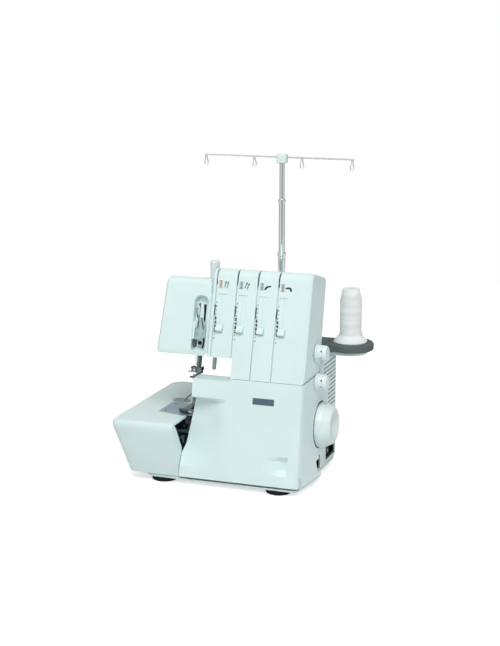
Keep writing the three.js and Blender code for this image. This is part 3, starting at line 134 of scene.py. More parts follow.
# ---------------------------------------------------------------- materials
class Graph:
    """A material's node tree with short calls for adding and linking nodes."""

    def __init__(self, name, color, roughness, metallic=0.0):
        self.material = bpy.data.materials.new(name)
        self.material.use_nodes = True
        self.tree = self.material.node_tree
        self.shader = self.tree.nodes["Principled BSDF"]
        self.shader.inputs["Base Color"].default_value = (*color, 1)
        self.shader.inputs["Roughness"].default_value = roughness
        self.shader.inputs["Metallic"].default_value = metallic
        self.place = self.add("ShaderNodeTexCoord").outputs["Object"]

    def add(self, kind, **inputs):
        return new_node(self.tree, kind, **inputs)

    def join(self, source, target):
        self.tree.links.new(source, target)

    def noise(self, scale, detail=2.0, stretch=(1, 1, 1)):
        mapping = self.add("ShaderNodeMapping", Scale=stretch)
        texture = self.add("ShaderNodeTexNoise", Scale=scale, Detail=detail)
        self.join(self.place, mapping.inputs["Vector"])
        self.join(mapping.outputs["Vector"], texture.inputs["Vector"])
        return texture.outputs["Fac"]

    def bands(self, scale, distortion=0.0, direction="Z"):
        texture = self.add("ShaderNodeTexWave", Scale=scale, Distortion=distortion)
        texture.bands_direction = direction
        self.join(self.place, texture.inputs["Vector"])
        return texture.outputs["Fac"]

    def between(self, factor, low, high):
        ramp = self.add("ShaderNodeMapRange", From_Min=0.3, From_Max=0.7, To_Min=low, To_Max=high)
        self.join(factor, ramp.inputs["Value"])
        return ramp.outputs["Result"]

    def colors(self, factor, first, second):
        ramp = self.add("ShaderNodeValToRGB")
        ramp.color_ramp.elements[0].position = 0.35
        ramp.color_ramp.elements[1].position = 0.65
        ramp.color_ramp.elements[0].color = (*first, 1)
        ramp.color_ramp.elements[1].color = (*second, 1)
        self.join(factor, ramp.inputs["Fac"])
        self.join(ramp.outputs["Color"], self.shader.inputs["Base Color"])

    def rough(self, factor, low, high):
        self.join(self.between(factor, low, high), self.shader.inputs["Roughness"])

    def bump(self, height, depth_mm):
        node = self.add("ShaderNodeBump", Strength=1.0, Distance=depth_mm * MM)
        self.join(height, node.inputs["Height"])
        previous = self.shader.inputs["Normal"].links
        if previous:
            self.join(previous[0].from_socket, node.inputs["Normal"])
        self.join(node.outputs["Normal"], self.shader.inputs["Normal"])

    def calculate(self, operation, first, second):
        """The result of a Math node on a socket and a second socket or a number."""
        node = self.add("ShaderNodeMath")
        node.operation = operation
        self.join(first, node.inputs[0])
        if isinstance(second, float):
            node.inputs[1].default_value = second
        else:
            self.join(second, node.inputs[1])
        return node.outputs["Value"]


def moulded(name, color, roughness, grain=0.012, gloss=0.5):
    """Moulded plastic: faint flow mottling, uneven gloss and a fine spark texture."""
    graph = Graph(name, color, roughness)
    graph.shader.inputs["Specular IOR Level"].default_value = gloss
    shade = tuple(channel * 0.965 for channel in color)
    graph.colors(graph.noise(14, 3), shade, color)
    graph.rough(graph.noise(60, 3), roughness - 0.05, roughness + 0.05)
    graph.bump(graph.noise(1500, 4), grain)
    graph.bump(graph.noise(35, 2), 0.05)
    return graph.material


def rubber(name, color):
    graph = Graph(name, color, 0.8)
    graph.shader.inputs["Specular IOR Level"].default_value = 0.2
    graph.colors(graph.noise(300, 4), color, tuple(c * 1.8 for c in color))
    graph.rough(graph.noise(120, 3), 0.7, 0.9)
    graph.bump(graph.noise(2200, 5), 0.06)
    return graph.material


def soft_mat(name, color):
    """Closed-cell mat: speckled, dull, with small open cells."""
    graph = Graph(name, color, 0.95)
    graph.colors(graph.noise(900, 5), tuple(c * 0.72 for c in color), tuple(c * 1.25 for c in color))
    cells = graph.add("ShaderNodeTexVoronoi", Scale=1300)
    graph.join(graph.place, cells.inputs["Vector"])
    graph.bump(cells.outputs["Distance"], 0.22)
    return graph.material


def polished(name, color, roughness, haze=0.004):
    """Plated metal: bright, with faint polishing haze."""
    graph = Graph(name, color, roughness, 1.0)
    graph.rough(graph.noise(150, 4), roughness * 0.6, roughness * 1.5)
    graph.bump(graph.noise(900, 3, (1, 1, 0.05)), haze)
    return graph.material


def ground(name, color, roughness, along=(1, 1, 30), metallic=1.0):
    """Ground or brushed steel: fine scratches across one direction."""
    graph = Graph(name, color, roughness, metallic)
    scratches = graph.noise(120, 6, along)
    graph.colors(scratches, tuple(c * 0.82 for c in color), color)
    graph.rough(scratches, roughness - 0.08, roughness + 0.1)
    graph.bump(scratches, 0.012)
    return graph.material


def cast(name, color, roughness, metallic):
    """Sand-cast or crackle-painted metal."""
    graph = Graph(name, color, roughness, metallic)
    graph.colors(graph.noise(220, 5), tuple(c * 0.75 for c in color), color)
    graph.rough(graph.noise(300, 3), roughness - 0.1, roughness + 0.1)
    graph.bump(graph.noise(700, 5), 0.09)
    return graph.material


def wound_thread(name, color):
    """Thread laid in close turns, with broader ridges where the layers cross."""
    graph = Graph(name, color, 0.85)
    graph.shader.inputs["Sheen Weight"].default_value = 0.4
    turns = graph.bands(420, 0.6)
    layers = graph.noise(30, 2, (0.3, 0.3, 6))
    graph.colors(layers, tuple(c * 0.9 for c in color), color)
    graph.bump(turns, 0.12)
    graph.bump(layers, 0.5)
    return graph.material


def ribbed_belt(name, color):
    graph = Graph(name, color, 0.75)
    graph.colors(graph.noise(500, 4), color, tuple(c * 1.6 for c in color))
    graph.bump(graph.bands(160, 0.0, "Y"), 0.2)
    return graph.material


def ink(name, color):
    graph = Graph(name, color, 0.5)
    graph.colors(graph.noise(1200, 3), tuple(c * 0.85 for c in color), color)
    graph.bump(graph.noise(2500, 3), 0.01)
    return graph.material


WHITE = moulded("white_plastic", (0.725, 0.885, 0.875), 0.36)
KNOB = moulded("knob_plastic", (0.76, 0.885, 0.865), 0.32)
BLACK_PLASTIC = moulded("black_plastic", (0.006, 0.012, 0.013), 0.42, 0.02, 0.22)
SOCKET_BLACK = moulded("socket_black", (0.003, 0.005, 0.005), 0.85, 0.02, 0.02)
RUBBER = rubber("foot_rubber", (0.006, 0.011, 0.012))
MAT = soft_mat("spool_mat_foam", (0.105, 0.135, 0.135))
CHROME = polished("chrome", (0.80, 0.85, 0.85), 0.17)
MAST_CHROME = polished("mast_chrome", (0.86, 0.93, 0.92), 0.06, 0.0006)
STEEL = ground("ground_steel", (0.50, 0.55, 0.57), 0.34)
PLATE_STEEL = ground("needle_plate_steel", (0.33, 0.48, 0.53), 0.38, (30, 1, 1), 0.45)
GRIP_STEEL = ground("grip_pad_steel", (0.46, 0.55, 0.52), 0.42, (1, 1, 1), 0.45)
BAR_CHROME = polished("needle_bar_chrome", (0.22, 0.27, 0.265), 0.2)
GUARD = cast("oil_guard_paint", (0.05, 0.078, 0.078), 0.5, 0.3)
PLATED = cast("zinc_plated_steel", (0.40, 0.52, 0.53), 0.45, 0.25)
CASTING = cast("frame_casting", (0.30, 0.33, 0.34), 0.6, 0.8)
MOTOR = cast("motor_paint", (0.05, 0.055, 0.06), 0.5, 0.2)
THREAD = wound_thread("wound_thread", (0.90, 0.95, 0.94))
BELT = ribbed_belt("timing_belt_rubber", (0.02, 0.02, 0.02))
DARK_STEEL = ground("dark_steel", (0.20, 0.225, 0.235), 0.4)
TAKE_UP_STEEL = cast("satin_plate", (0.44, 0.62, 0.59), 0.42, 0.25)
DARK_PAD = rubber("dark_pad", (0.045, 0.085, 0.078))
BLACK_INK = ink("black_ink", (0.012, 0.014, 0.016))
GREY_INK = ink("grey_ink", (0.16, 0.17, 0.15))
WHITE_INK = ink("white_ink", (0.82, 0.86, 0.85))
SLATE = ink("badge_slate", (0.085, 0.135, 0.175))
GUIDE_INKS = [ink("guide_orange", (0.42, 0.20, 0.10)), ink("guide_green", (0.10, 0.22, 0.18)),
              ink("guide_blue", (0.12, 0.18, 0.34)), ink("guide_plum", (0.24, 0.11, 0.14))]

FINISHES = {
    "white_plastic": WHITE, "warm_plastic": KNOB, "black_rubber": RUBBER, "black_plastic": BLACK_PLASTIC,
    "grey_foam": MAT, "chrome": CHROME, "steel": STEEL, "casting": CASTING, "motor_case": MOTOR,
    "thread": THREAD, "belt": BELT,
}
OWN_FINISH = {"mast_lower_tube": MAST_CHROME, "mast_middle_tube": MAST_CHROME, "mast_upper_tube": MAST_CHROME,
              "foot_control_socket": SOCKET_BLACK, "power_inlet": SOCKET_BLACK,
              "needle_plate": PLATE_STEEL, "needle_clamp": DARK_STEEL, "presser_foot": DARK_STEEL,
              "lower_knife": DARK_STEEL, "upper_knife": DARK_STEEL, "cloth_plate_seam_gauge": GRIP_STEEL,
              "needle_bar": BAR_CHROME,
              "lower_looper": DARK_STEEL, "upper_looper": DARK_STEEL, "take_up_cover": TAKE_UP_STEEL}
OWN_FINISH.update({f"tension_slider_{number}": WHITE for number in range(1, 5)})


# ---------------------------------------------------------------- CAD nodes with softened edges
SHARP = 32                        # degrees at which the edge between two faces stays crisp
CREASE = {"looper_cover": 7}      # the same for a node with shallower edges
EDGE_ROUND = {"white_plastic": 0.6, "warm_plastic": 0.4, "casting": 0.8, "grey_foam": 0.8, "black_rubber": 0.5}
SMALL_ROUND = 0.15                # width of the other nodes' edge rounds


def soften(node, width):
    """A copy of a CAD node with merged facets, smooth curved faces and small edge rounds."""
    mesh = frame["nodes"][node].data.copy()
    work = bmesh.new()
    work.from_mesh(mesh)
    bmesh.ops.remove_doubles(work, verts=work.verts, dist=2e-6)
    bmesh.ops.dissolve_limit(work, angle_limit=math.radians(0.5), verts=work.verts, edges=work.edges)
    work.to_mesh(mesh)
    work.free()
    mesh.materials.clear()
    mesh.polygons.foreach_set("use_smooth", [True] * len(mesh.polygons))
    mesh.set_sharp_from_angle(angle=math.radians(CREASE.get(node, SHARP)))
    piece = bpy.data.objects.new(node + "_skin", mesh)
    bpy.context.scene.collection.objects.link(piece)
    bevel = piece.modifiers.new("edge_round", "BEVEL")
    bevel.width = width * MM
    bevel.segments = 2
    bevel.limit_method = "ANGLE"
    bevel.angle_limit = math.radians(SHARP)
    bevel.use_clamp_overlap = True
    normals = piece.modifiers.new("even_normals", "WEIGHTED_NORMAL")
    normals.keep_sharp = True
    return piece


def finish_nodes():
    slots = {entry["node"]: entry["material_slot"] for entry in frame["record"]["subparts"]}
    for node, slot in slots.items():
        piece = soften(node, EDGE_ROUND.get(slot, SMALL_ROUND))
        piece.data.materials.append(OWN_FINISH.get(node, FINISHES[slot]))
        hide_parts(node)
        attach(piece, BODY_OF[node])


# ---------------------------------------------------------------- added pieces
def piece_from(name, work, material, body, matrix=None):
    """Turns a bmesh, drawn in millimetres in a local frame, into a piece riding on a body."""
    if matrix is not None:
        bmesh.ops.transform(work, matrix=matrix, verts=work.verts)
    mesh = bpy.data.meshes.new(name)
    work.to_mesh(mesh)
    work.free()
    mesh.materials.append(material)
    piece = bpy.data.objects.new(name, mesh)
    bpy.context.scene.collection.objects.link(piece)
    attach(piece, body)
    return piece


def add_mesh(work, mesh, matrix):
    """Adds a mesh, placed by a matrix, to a bmesh."""
    start = len(work.verts)
    work.from_mesh(mesh)
    work.verts.ensure_lookup_table()
    bmesh.ops.transform(work, matrix=matrix, verts=work.verts[start:])


def glyph(text, height, bold=0.0):
    """Flat printed figures of a given height, centred on the origin, as a mesh."""
    curve = bpy.data.curves.new("glyph", "FONT")
    curve.body = text
    curve.size = height * FONT_SIZE
    curve.align_x = "CENTER"
    curve.align_y = "CENTER"
    curve.extrude = INK / 2
    curve.offset = bold
    curve.resolution_u = 3
    holder = bpy.data.objects.new("glyph", curve)
    bpy.context.scene.collection.objects.link(holder)
    mesh = bpy.data.meshes.new_from_object(holder.evaluated_get(bpy.context.evaluated_depsgraph_get()))
    bpy.data.objects.remove(holder)
    return mesh


def ring(work, radius, height, sides, matrix):
    """Vertices evenly round local Z at one height."""
    angles = [2 * math.pi * k / sides for k in range(sides)]
    return [work.verts.new(matrix @ Vector((radius * math.cos(angle), radius * math.sin(angle), height)))
            for angle in angles]


def bridge(work, loops):
    """Quads from each closed loop of vertices to the next."""
    for low, high in zip(loops, loops[1:]):
        for k, vertex in enumerate(low):
            j = (k + 1) % len(low)
            work.faces.new((vertex, low[j], high[j], high[k]))


def slab(work, x0, x1, y0, y1, z0, z1, corner=0.0, matrix=Matrix()):
    """A flat slab, in a local frame, with rounded corners where a radius is given."""
    arc = (0, 22.5, 45, 67.5, 90) if corner else (0,)
    points = []
    for cx, cy, start in ((x1, y1, 0), (x0, y1, 90), (x0, y0, 180), (x1, y0, 270)):
        for along in arc:
            angle = math.radians(start + along)
            points.append((cx - math.copysign(corner, cx - (x0 + x1) / 2) + corner * math.cos(angle),
                           cy - math.copysign(corner, cy - (y0 + y1) / 2) + corner * math.sin(angle)))
    first = len(work.verts)
    prism(work, points, z0, z1)
    work.verts.ensure_lookup_table()
    bmesh.ops.transform(work, matrix=matrix, verts=work.verts[first:])


def prism(work, points, z0, z1):
    """A flat polygon, listed anticlockwise, between two heights of a local frame."""
    lower = [work.verts.new((x, y, z0)) for x, y in points]
    upper = [work.verts.new((x, y, z1)) for x, y in points]
    work.faces.new(upper)
    work.faces.new(lower[::-1])
    bridge(work, [lower, upper])


def screw_head(work, radius, matrix):
    """Pan head with a dimple in its top, its seat at local Z = 0."""
    profile = [(radius, 0), (radius, radius * 0.25), (radius * 0.75, radius * 0.5), (radius * 0.35, radius * 0.56)]
    loops = [ring(work, size, height, 20, matrix) for size, height in profile]
    bridge(work, loops)
    dimple = work.verts.new(matrix @ Vector((0, 0, radius * 0.2)))
    rim = loops[-1]
    for k, vertex in enumerate(rim):
        work.faces.new((vertex, rim[(k + 1) % len(rim)], dimple))
    work.faces.new(loops[0][::-1])


def turned(work, profile, matrix, sides=20):
    """A closed profile of (radius, height) pairs turned round local Z."""
    loops = [ring(work, radius, height, sides, matrix) for radius, height in profile]
    bridge(work, loops + loops[:1])


def wire(work, points, radius, sides=8):
    """A bent wire of even thickness through points, with capped ends."""
    points = [Vector(point) for point in points]
    angles = [2 * math.pi * k / sides for k in range(sides)]
    loops = []
    for i, point in enumerate(points):
        ahead = (points[min(i + 1, len(points) - 1)] - points[max(i - 1, 0)]).normalized()
        side = ahead.orthogonal().normalized() if not loops else (side - ahead * side.dot(ahead)).normalized()
        other = ahead.cross(side)
        loops.append([work.verts.new(point + radius * (math.cos(angle) * side + math.sin(angle) * other))
                      for angle in angles])
    bridge(work, loops)
    work.faces.new(loops[0][::-1])
    work.faces.new(loops[-1])


def tension_scales():
    """Numbers 0 to 9 beside each tension track, those of the normal range, 2 to 5, bold."""
    offset, lowest, spacing = 2.3, 201.2, 5.2     # right of a groove, height of the 0, height between two numbers
    digits = bmesh.new()
    for groove in GROOVES:
        for value in range(10):
            height, bold = (3.7, 0.42) if 2 <= value <= 5 else (2.5, 0.06)
            place = shift(groove + offset, up_panel(lowest + spacing * value), INK / 2)
            add_mesh(digits, glyph(str(value), height, bold), place)
    piece_from("tension_numbers", digits, BLACK_INK, "machine", PANEL)


def thread_path_marks():
    """A ladder of coloured lines at the head of each thread path, with a needle or looper sign beside it."""
    base, spacing, thickness = up_panel(267.5), 1.8, 0.85
    needles, loopers = bmesh.new(), bmesh.new()
    for number, (groove, paint) in enumerate(zip(GROOVES, GUIDE_INKS)):
        ladder = bmesh.new()
        for line in range(6):
            y = base + line * spacing
            slab(ladder, groove + 3.2, groove + 8.4, y, y + thickness, 0, INK)
        slab(ladder, groove + 5.4, groove + 6.2, base, base + 9.8, 0, INK)
        piece_from(f"thread_path_mark_{number + 1}", ladder, paint, "machine", PANEL)
        sign = groove + 14
        if number < len(NEEDLE_SIGN_TURN):
            place = shift(sign, base + 4.6) @ turn(NEEDLE_SIGN_TURN[number], "Z")
            for side in (-1.7, 1.7):
                slab(needles, -4.2, 2.8, side - 0.65, side + 0.65, 0, INK, 0, place)
                slab(needles, 1.6, 4.4, side - 1.1, side + 1.1, 0, INK, 0.7, place)
        else:
            outline = LOOPER_SIGN[number - len(NEEDLE_SIGN_TURN)]
            prism(loopers, [(sign + x, base + 5 + y) for x, y in outline], 0, INK)
    piece_from("thread_path_needles", needles, GREY_INK, "machine", PANEL)
    piece_from("thread_path_loopers", loopers, BLACK_INK, "machine", PANEL)


def groove_liners():
    """Pale liner in each thread groove, open at its tension discs, and dust lips in each slider slot."""
    half, room = 1.08, 7.6           # half width of a liner, and what it leaves free on each side of the discs
    lip_inner, lip_outer = 0.05, 0.88
    liners, lips = bmesh.new(), bmesh.new()
    discs = up_panel(DISC_Z)
    low, high = up_panel(KNOB_REST_Z) - 4, up_panel(KNOB_REST_Z) + 43
    for groove in GROOVES:
        foot = up_panel(176.4 if groove < COLUMN_LEFT else 150.6)
        for start, end in ((foot, discs - room), (discs + room, up_panel(272))):
            slab(liners, groove - half, groove + half, start, end, -3.5, -3.0)
        centre = groove + TRACK_OFFSET
        slab(lips, centre - lip_outer, centre - lip_inner, low, high, -1.8, -1.5)
        slab(lips, centre + lip_inner, centre + lip_outer, low, high, -1.8, -1.5)
    piece_from("groove_liners", liners, WHITE, "machine", PANEL)
    piece_from("slot_dust_lips", lips, WHITE, "machine", PANEL)


def face_pocket():
    """Black sheets of painted shade where the slots show dark, a screw, a stop pad, and a pale strip of painted
    highlight on the left edge of the take-up pocket.
    """
    # The black sheets are painted shade: they lie on the pocket floor and on the take-up cover where the slots show
    # dark.
    slots = bmesh.new()
    prism(slots, [(-153.7, 97.0), (-152.4, 76.0), (-151.3, 76.0), (-150.1, 97.0), (-150.6, 98), (-153, 98)],
          POCKET_FLOOR, POCKET_FLOOR + 0.3)
    prism(slots, [(-164.4, 92.4), (-163.0, 79.4), (-161.7, 79.4), (-163.2, 92.4)], POCKET_FLOOR, POCKET_FLOOR + 0.2)
    prism(slots, [(-155.2, 79.4), (-151.0, 63.6), (-149.8, 63.6), (-153.9, 79.4)], PLATE_FACE, PLATE_FACE + 0.1)
    prism(slots, [(-149.4, 52), (-150.2, 38), (-148.3, 38), (-147.6, 52)], PLATE_FACE, PLATE_FACE + 0.6)
    piece_from("pocket_painted_slot_shade", slots, BLACK_PLASTIC, "machine", PANEL)
    pad = bmesh.new()
    prism(pad, [(-164.3, 49.3), (-164.3, 43.5), (-161.4, 38.6), (-159.6, 41), (-159.9, 49.3)], POCKET_FLOOR, -5)
    piece_from("take_up_stop_pad", pad, DARK_PAD, "machine", PANEL)
    # Pale knob-plastic strip on the pocket's left edge: a painted highlight, standing in for the bright reflection
    # along that edge.
    highlight_strip = bmesh.new()
    prism(highlight_strip, [(-164.3, 73.8), (-164.3, 49.8), (-161.5, 49.8), (-161.5, 73.8)], -3.0, -2.3)
    piece_from("take_up_painted_highlight_strip", highlight_strip, KNOB, "machine", PANEL)
    seat, screw = bmesh.new(), bmesh.new()
    centre = shift(-153, 45, -4.7)
    slab(seat, -3.9, 3.9, -3.9, 3.9, 0, 0.25, 3.8, centre)
    screw_head(screw, 3.0, centre @ shift(0, 0, 0.2))
    piece_from("take_up_screw_washer", seat, CHROME, "machine", PANEL)
    piece_from("take_up_screw_head", screw, BLACK_PLASTIC, "machine", PANEL)


def needle_bar_guide():
    """Thread guide clamped on the needle bar above the needle clamp, with its screw and two hooks."""
    collar, screw, hooks = bmesh.new(), bmesh.new(), bmesh.new()
    turned(collar, [(3.4, 0.6), (5.6, 0.6), (6.1, 1.4), (6.1, 7.6), (5.6, 8.4), (3.4, 8.4)], Matrix())
    eye = shift(-4.2, -6.2, 4) @ turn(90, "X")
    turned(collar, [(1.5, -1), (3.6, -1), (3.9, -0.4), (3.9, 2.4), (3.4, 3), (1.5, 3)], eye)
    slab(collar, -1, 6.4, -7, -5, 0.4, 6.6, 1)
    screw_head(screw, 2.9, shift(5.9, -1.5, 7.2) @ turn(90, "Y"))
    screw_head(screw, 2.4, shift(6.4, -5.4, 1.6) @ turn(60, "X"))
    wire(hooks, [(-4, -3, 8.6), (-6.5, -4, 9), (-8.6, -5, 7.8), (-9.8, -5.6, 5.8)], 0.95)
    wire(hooks, [(-6, -5, 2.4), (-8.5, -6, 1.8), (-11, -6.4, 1.4), (-12.6, -6.4, 1.2)], 0.9)
    piece_from("needle_bar_guide", collar, PLATED, "needle_carriage", BAR)
    piece_from("needle_bar_guide_screws", screw, BLACK_PLASTIC, "needle_carriage", BAR)
    piece_from("needle_bar_guide_hooks", hooks, DARK_STEEL, "needle_carriage", BAR)


def looper_bay():
    """Oil guard behind the loopers with its screws, a rod and two bright parts, and on the presser foot a white
    patch of painted highlight on its toe and a spring.
    """
    guard_back, guard_face = -57.4, -56.6
    guard, steel, bright = bmesh.new(), bmesh.new(), bmesh.new()
    prism(guard, [(-206, 14), (-164.6, 14), (-164.6, 83), (-206, 83)], guard_back, guard_face)
    for x, z in ((-199, 73), (-189, 64), (-178, 49), (-195, 46)):
        screw_head(steel, 2.2, FRONT @ shift(x, z, guard_face))
    wire(steel, [at(-206, 52.5, 58), at(-165, 52.5, 58)], 2.6 * MM, 14)
    prism(bright, [(-181.9, 56), (-179.7, 56), (-175.4, 75), (-177.6, 75)], -49.6, -48.8)
    turned(bright, [(0.02, 40.5), (0.6, 42), (1.7, 43), (1.7, 50), (2.6, 50.2), (2.6, 52), (0.02, 52.2)],
           shift(-187.7, 0) @ turn(-90, "X") @ shift(0, 48), 14)
    piece_from("looper_bay_guard", guard, GUARD, "machine", FRONT)
    piece_from("looper_bay_fasteners", steel, PLATED, "machine")
    piece_from("looper_bay_bright_parts", bright, PLATED, "machine", FRONT)
    # White ink patch on the presser foot's toe: a painted highlight, standing in for the glint of the bright toe.
    toe_highlight = bmesh.new()
    slab(toe_highlight, -3.4, 3.4, -2.2, 2.2, 0.05, 0.5, 1.9)
    toe_face = plane((-167, 26, 94.2), (1, 0, 0), (0, -0.524, 0.852))
    piece_from("presser_toe_painted_highlight", toe_highlight, WHITE_INK, "presser", toe_face)
    spring = bmesh.new()
    bends = [at(-188.5, 59, 99.6), at(-185.4, 60, 105), at(-180.6, 62, 108.8), at(-178.5, 66, 110)]
    wire(spring, bends, 0.8 * MM)
    piece_from("presser_foot_spring", spring, DARK_STEEL, "presser")


def badge_plate():
    """Bare badge plate with a pale rim, near the top of the looper cover."""
    plate, rim = bmesh.new(), bmesh.new()
    left, right, low, high, border = -70.2, -39.2, -31.6, -22.0, 0.4
    slab(rim, left, right, low, high, 0, 0.25, 0.8)
    slab(plate, left + border, right - border, low + border, high - border, 0.2, 0.32, 0.6)
    piece_from("badge_rim", rim, WHITE_INK, "looper_cover", COVER)
    piece_from("badge_plate", plate, SLATE, "looper_cover", COVER)


def dial_marks():
    """Numbers round each dial's skirt, and a reference mark on the wall beside it."""
    count, first = 8, 20                     # numbers round a dial, and where the 1 stands, in degrees
    skirt_out, skirt_radius = 8.5, 10.62     # from the joint's centre
    mark_distance = 16.5
    for name, body, joint in (("differential", "differential_feed_dial", "differential_feed_turn"),
                              ("length", "stitch_length_dial", "stitch_length_turn")):
        centre = Vector(JOINTS[joint]["pos_m"])
        low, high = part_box(body)
        marks = bmesh.new()
        for step in range(count):
            skirt = Matrix.Translation(centre) @ turn(step * 360 / count + first, "X")
            face = skirt @ shift(skirt_out * MM, 0, skirt_radius * MM) @ turn(90, "Z") @ Matrix.Scale(MM, 4)
            add_mesh(marks, glyph(str(step + 1), 4.2, 0.35), face)
        piece_from(f"{name}_dial_numbers", marks, BLACK_INK, body)
        pointer = bmesh.new()
        to_mark = Vector((high.x - at(0, 0, 0).x, mark_distance * MM, 0))
        place = Matrix.Translation(Vector((high.x, centre.y, centre.z)) - to_mark)
        slab(pointer, -1.6, 1.6, -0.5, 0.5, 0, INK, 0.4)
        bmesh.ops.transform(pointer, matrix=place @ (SIDE.to_3x3().to_4x4()), verts=pointer.verts)
        piece_from(f"{name}_dial_pointer", pointer, BLACK_INK, "machine")


def switch_marks():
    """The two plain signs of a power rocker."""
    low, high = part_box("power_switch")
    fall, below = 1.3 * MM, 0.1 * MM     # of the rocker's face along it, and of a sign's middle under its top
    upright = SIDE.to_3x3().normalized().to_4x4()
    marks = bmesh.new()
    for text, share in (("I", 0.25), ("O", 0.75)):
        y = low.y + (high.y - low.y) * share
        x = high.x - fall * (1 - share) - below
        face = shift(x, y, (low.z + high.z) / 2) @ upright @ Matrix.Scale(MM, 4)
        add_mesh(marks, glyph(text, 5.2, 0.3), face)
    piece_from("switch_signs", marks, WHITE_INK, "power_switch")


def side_frames():
    """Dark collars round the two sockets, and a dark ring of painted shade in the gap round the handwheel."""
    collar = 1.6
    inner_radius, outer_radius, back, face = 32, 33, -1.2, -0.3     # of the dark ring of painted shade in the gap round the handwheel
    frames, gap_shade = bmesh.new(), bmesh.new()
    for y0, z0, y1, z1 in SOCKETS:
        inner = [(y0, z0), (y1, z0), (y1, z1), (y0, z1)]
        outer = [(y0 - collar, z0 - collar), (y1 + collar, z0 - collar),
                 (y1 + collar, z1 + collar), (y0 - collar, z1 + collar)]
        for k in range(4):
            j = (k + 1) % 4
            prism(frames, [outer[k], outer[j], inner[j], inner[k]], 0.02, 0.4)
    # The ring is painted shade: dark rubber standing in for the shadow in the gap round the handwheel.
    section = [(inner_radius, back), (outer_radius, back), (outer_radius, face), (inner_radius, face)]
    turned(gap_shade, section, shift(*HANDWHEEL), 64)
    piece_from("socket_frames", frames, SOCKET_BLACK, "machine", SIDE)
    piece_from("handwheel_painted_gap_shade", gap_shade, RUBBER, "machine", SIDE)


def screws():
    """Small fasteners of the rear cover, the needle plate and the base tray."""
    seat = -0.05     # how far a head sinks into its face
    rear = bmesh.new()
    rear_face = plane((0, CASING_REAR, 0), (-1, 0, 0), (0, 0, 1))
    for x in (-151, -53):
        for z in (29, 143):
            screw_head(rear, 3.0, rear_face @ shift(-x, z, seat))
    piece_from("rear_cover_screws", rear, STEEL, "machine")
    bed = bmesh.new()
    for x, y in ((-208, 35), (-208, 72)):
        screw_head(bed, 2.6, BED @ shift(x, y, -1.1))
    piece_from("needle_plate_screws", bed, DARK_STEEL, "machine")
    under = bmesh.new()
    bottom = plane((0, 0, TRAY_UNDERSIDE), (-1, 0, 0), (0, 1, 0))
    for x, y in ((-60, 20), (-170, 20), (-210, 100), (-14, 100), (-120, 186)):
        screw_head(under, 3.2, bottom @ shift(-x, y, seat))
    piece_from("base_tray_screws", under, STEEL, "machine")


def needle_plate_lines():
    """Printed seam lines on the needle plate, and raised dots on the cloth plate's oval grip pad."""
    lines = bmesh.new()
    for x in (-211, -206, -201, -196, -191):
        slab(lines, x - 0.2, x + 0.2, 40, 66, 0, INK)
    piece_from("needle_plate_lines", lines, BLACK_INK, "machine", BED)
    half_length, half_width, across, along = 11.5, 8.5, 2.1, 2.3     # of the dotted oval, and between its dots
    dots = bmesh.new()
    pad_low, pad_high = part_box("cloth_plate_seam_gauge")
    centre = (pad_low + pad_high) / 2
    for row in range(-3, 4):
        for column in range(-5, 6):
            x, y = column * across + (row % 2) * across / 2, row * along
            if (x / half_length) ** 2 + (y / half_width) ** 2 < 1:
                place = Matrix.Translation((centre.x, centre.y, pad_high.z)) @ Matrix.Scale(MM, 4)
                slab(dots, x - 0.5, x + 0.5, y - 0.5, y + 0.5, -0.2, 0.18, 0.35, place)
    piece_from("grip_pad_dots", dots, DARK_STEEL, "cloth_plate")


def build():
    finish_nodes()
    tension_scales()
    thread_path_marks()
    groove_liners()
    face_pocket()
    needle_bar_guide()
    looper_bay()
    badge_plate()
    dial_marks()
    switch_marks()
    side_frames()
    screws()
    needle_plate_lines()


# ---------------------------------------------------------------- studio
def studio_floor():
    """White floor that looks white from the camera, and darker in metal, and keeps the shadow."""
    in_metal, glow = 0.3, 0.62     # share of the glow that gloss shows, and the glow's strength
    bpy.ops.mesh.primitive_plane_add(size=3, location=(0, 0, 0))
    floor = bpy.context.object
    floor.name = "studio_floor"
    paint = Graph("studio_floor_paint", (0.8, 0.8, 0.8), 0.9)
    paint.rough(paint.noise(3, 2), 0.85, 0.95)
    paint.shader.inputs["Specular IOR Level"].default_value = 0.1
    paint.shader.inputs["Emission Color"].default_value = (1, 1, 1, 1)
    path = paint.add("ShaderNodeLightPath")
    reflected = paint.calculate("MULTIPLY", path.outputs["Is Glossy Ray"], in_metal)
    looked_at = paint.calculate("MAXIMUM", path.outputs["Is Camera Ray"], reflected)
    paint.join(paint.calculate("MULTIPLY", looked_at, glow), paint.shader.inputs["Emission Strength"])
    floor.data.materials.append(paint.material)


def studio_lamps():
    """A large soft box above the front, and a weak fill on each side."""
    target = Vector((0, 0, 0.15))
    for name, place, size, power in (("top_soft_box", (0.45, -1.35, 2.0), 1.2, 32.5),
                                     ("left_fill", (-2.2, -0.9, 0.9), 0.9, 1),
                                     ("right_fill", (1.9, -0.6, 1.0), 1.0, 1.5)):
        data = bpy.data.lights.new(name, "AREA")
        data.size = size
        data.energy = power
        lamp = bpy.data.objects.new(name, data)
        lamp.location = place
        lamp.rotation_euler = (target - Vector(place)).to_track_quat("-Z", "Y").to_euler()
        bpy.context.scene.collection.objects.link(lamp)


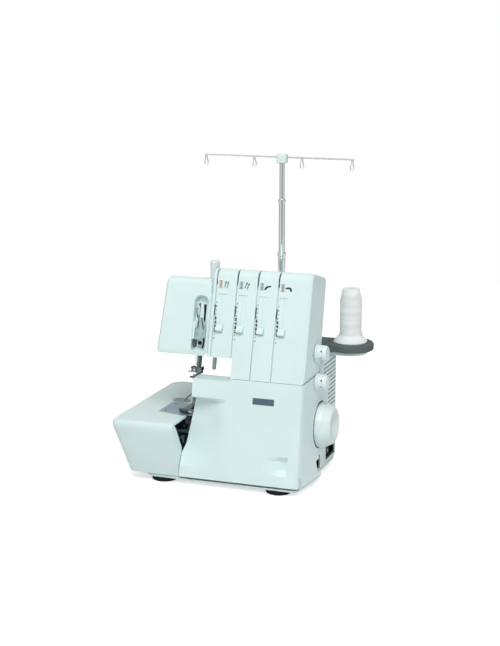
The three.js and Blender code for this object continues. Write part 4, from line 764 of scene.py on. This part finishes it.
def studio_world():
    """White to the camera, even and soft as a light, and light and dark bands from left to right for gloss."""
    world = bpy.data.worlds.new("studio_world")
    bpy.context.scene.world = world
    world.use_nodes = True
    tree = world.node_tree
    tree.nodes.clear()
    white = (1, 1, 1, 1)
    output = new_node(tree, "ShaderNodeOutputWorld")
    seen = new_node(tree, "ShaderNodeBackground", Color=white, Strength=1.0)
    light = new_node(tree, "ShaderNodeBackground", Color=white, Strength=0.45)
    bands = new_node(tree, "ShaderNodeBackground", Strength=0.8)
    place = new_node(tree, "ShaderNodeTexCoord")
    split = new_node(tree, "ShaderNodeSeparateXYZ")
    spread = new_node(tree, "ShaderNodeMapRange", From_Min=-1, From_Max=1)
    ramp = new_node(tree, "ShaderNodeValToRGB")
    # Place from left to right, and brightness. The dark band draws the mast's dark middle line.
    stops = [(0.0, 0.5), (0.2, 0.85), (0.5, 0.9), (0.56, 0.7), (0.6, 0.02), (0.74, 0.02), (0.78, 0.6), (1.0, 0.8)]
    for element, (position, value) in zip(ramp.color_ramp.elements, (stops[0], stops[-1])):
        element.position = position
        element.color = (value, value, value, 1)
    for position, value in stops[1:-1]:
        ramp.color_ramp.elements.new(position).color = (value, value, value, 1)
    path = new_node(tree, "ShaderNodeLightPath")
    glossy_mix = new_node(tree, "ShaderNodeMixShader")
    camera_mix = new_node(tree, "ShaderNodeMixShader")
    link = tree.links.new
    link(place.outputs["Generated"], split.inputs["Vector"])
    link(split.outputs["X"], spread.inputs["Value"])
    link(spread.outputs["Result"], ramp.inputs["Fac"])
    link(ramp.outputs["Color"], bands.inputs["Color"])
    link(path.outputs["Is Glossy Ray"], glossy_mix.inputs["Fac"])
    link(light.outputs["Background"], glossy_mix.inputs[1])
    link(bands.outputs["Background"], glossy_mix.inputs[2])
    link(path.outputs["Is Camera Ray"], camera_mix.inputs["Fac"])
    link(glossy_mix.outputs["Shader"], camera_mix.inputs[1])
    link(seen.outputs["Background"], camera_mix.inputs[2])
    link(camera_mix.outputs["Shader"], output.inputs["Surface"])
    bpy.context.scene.view_settings.view_transform = "Standard"


def camera():
    """Camera 20 degrees to the right of the front, looking 12 degrees down."""
    azimuth, pitch = 19.9, 12.3     # degrees to the right of the front, and down
    data = bpy.data.cameras.new("photo_camera")
    data.sensor_width = 36
    data.lens = 81.25
    eye = bpy.data.objects.new("photo_camera", data)
    eye.location = at(566.7, -1761.1, 640.0)
    eye.rotation_euler = (math.radians(90 - pitch), 0, math.radians(azimuth))
    bpy.context.scene.collection.objects.link(eye)
    bpy.context.scene.camera = eye


camera()
studio_floor()
studio_lamps()
studio_world()
build()
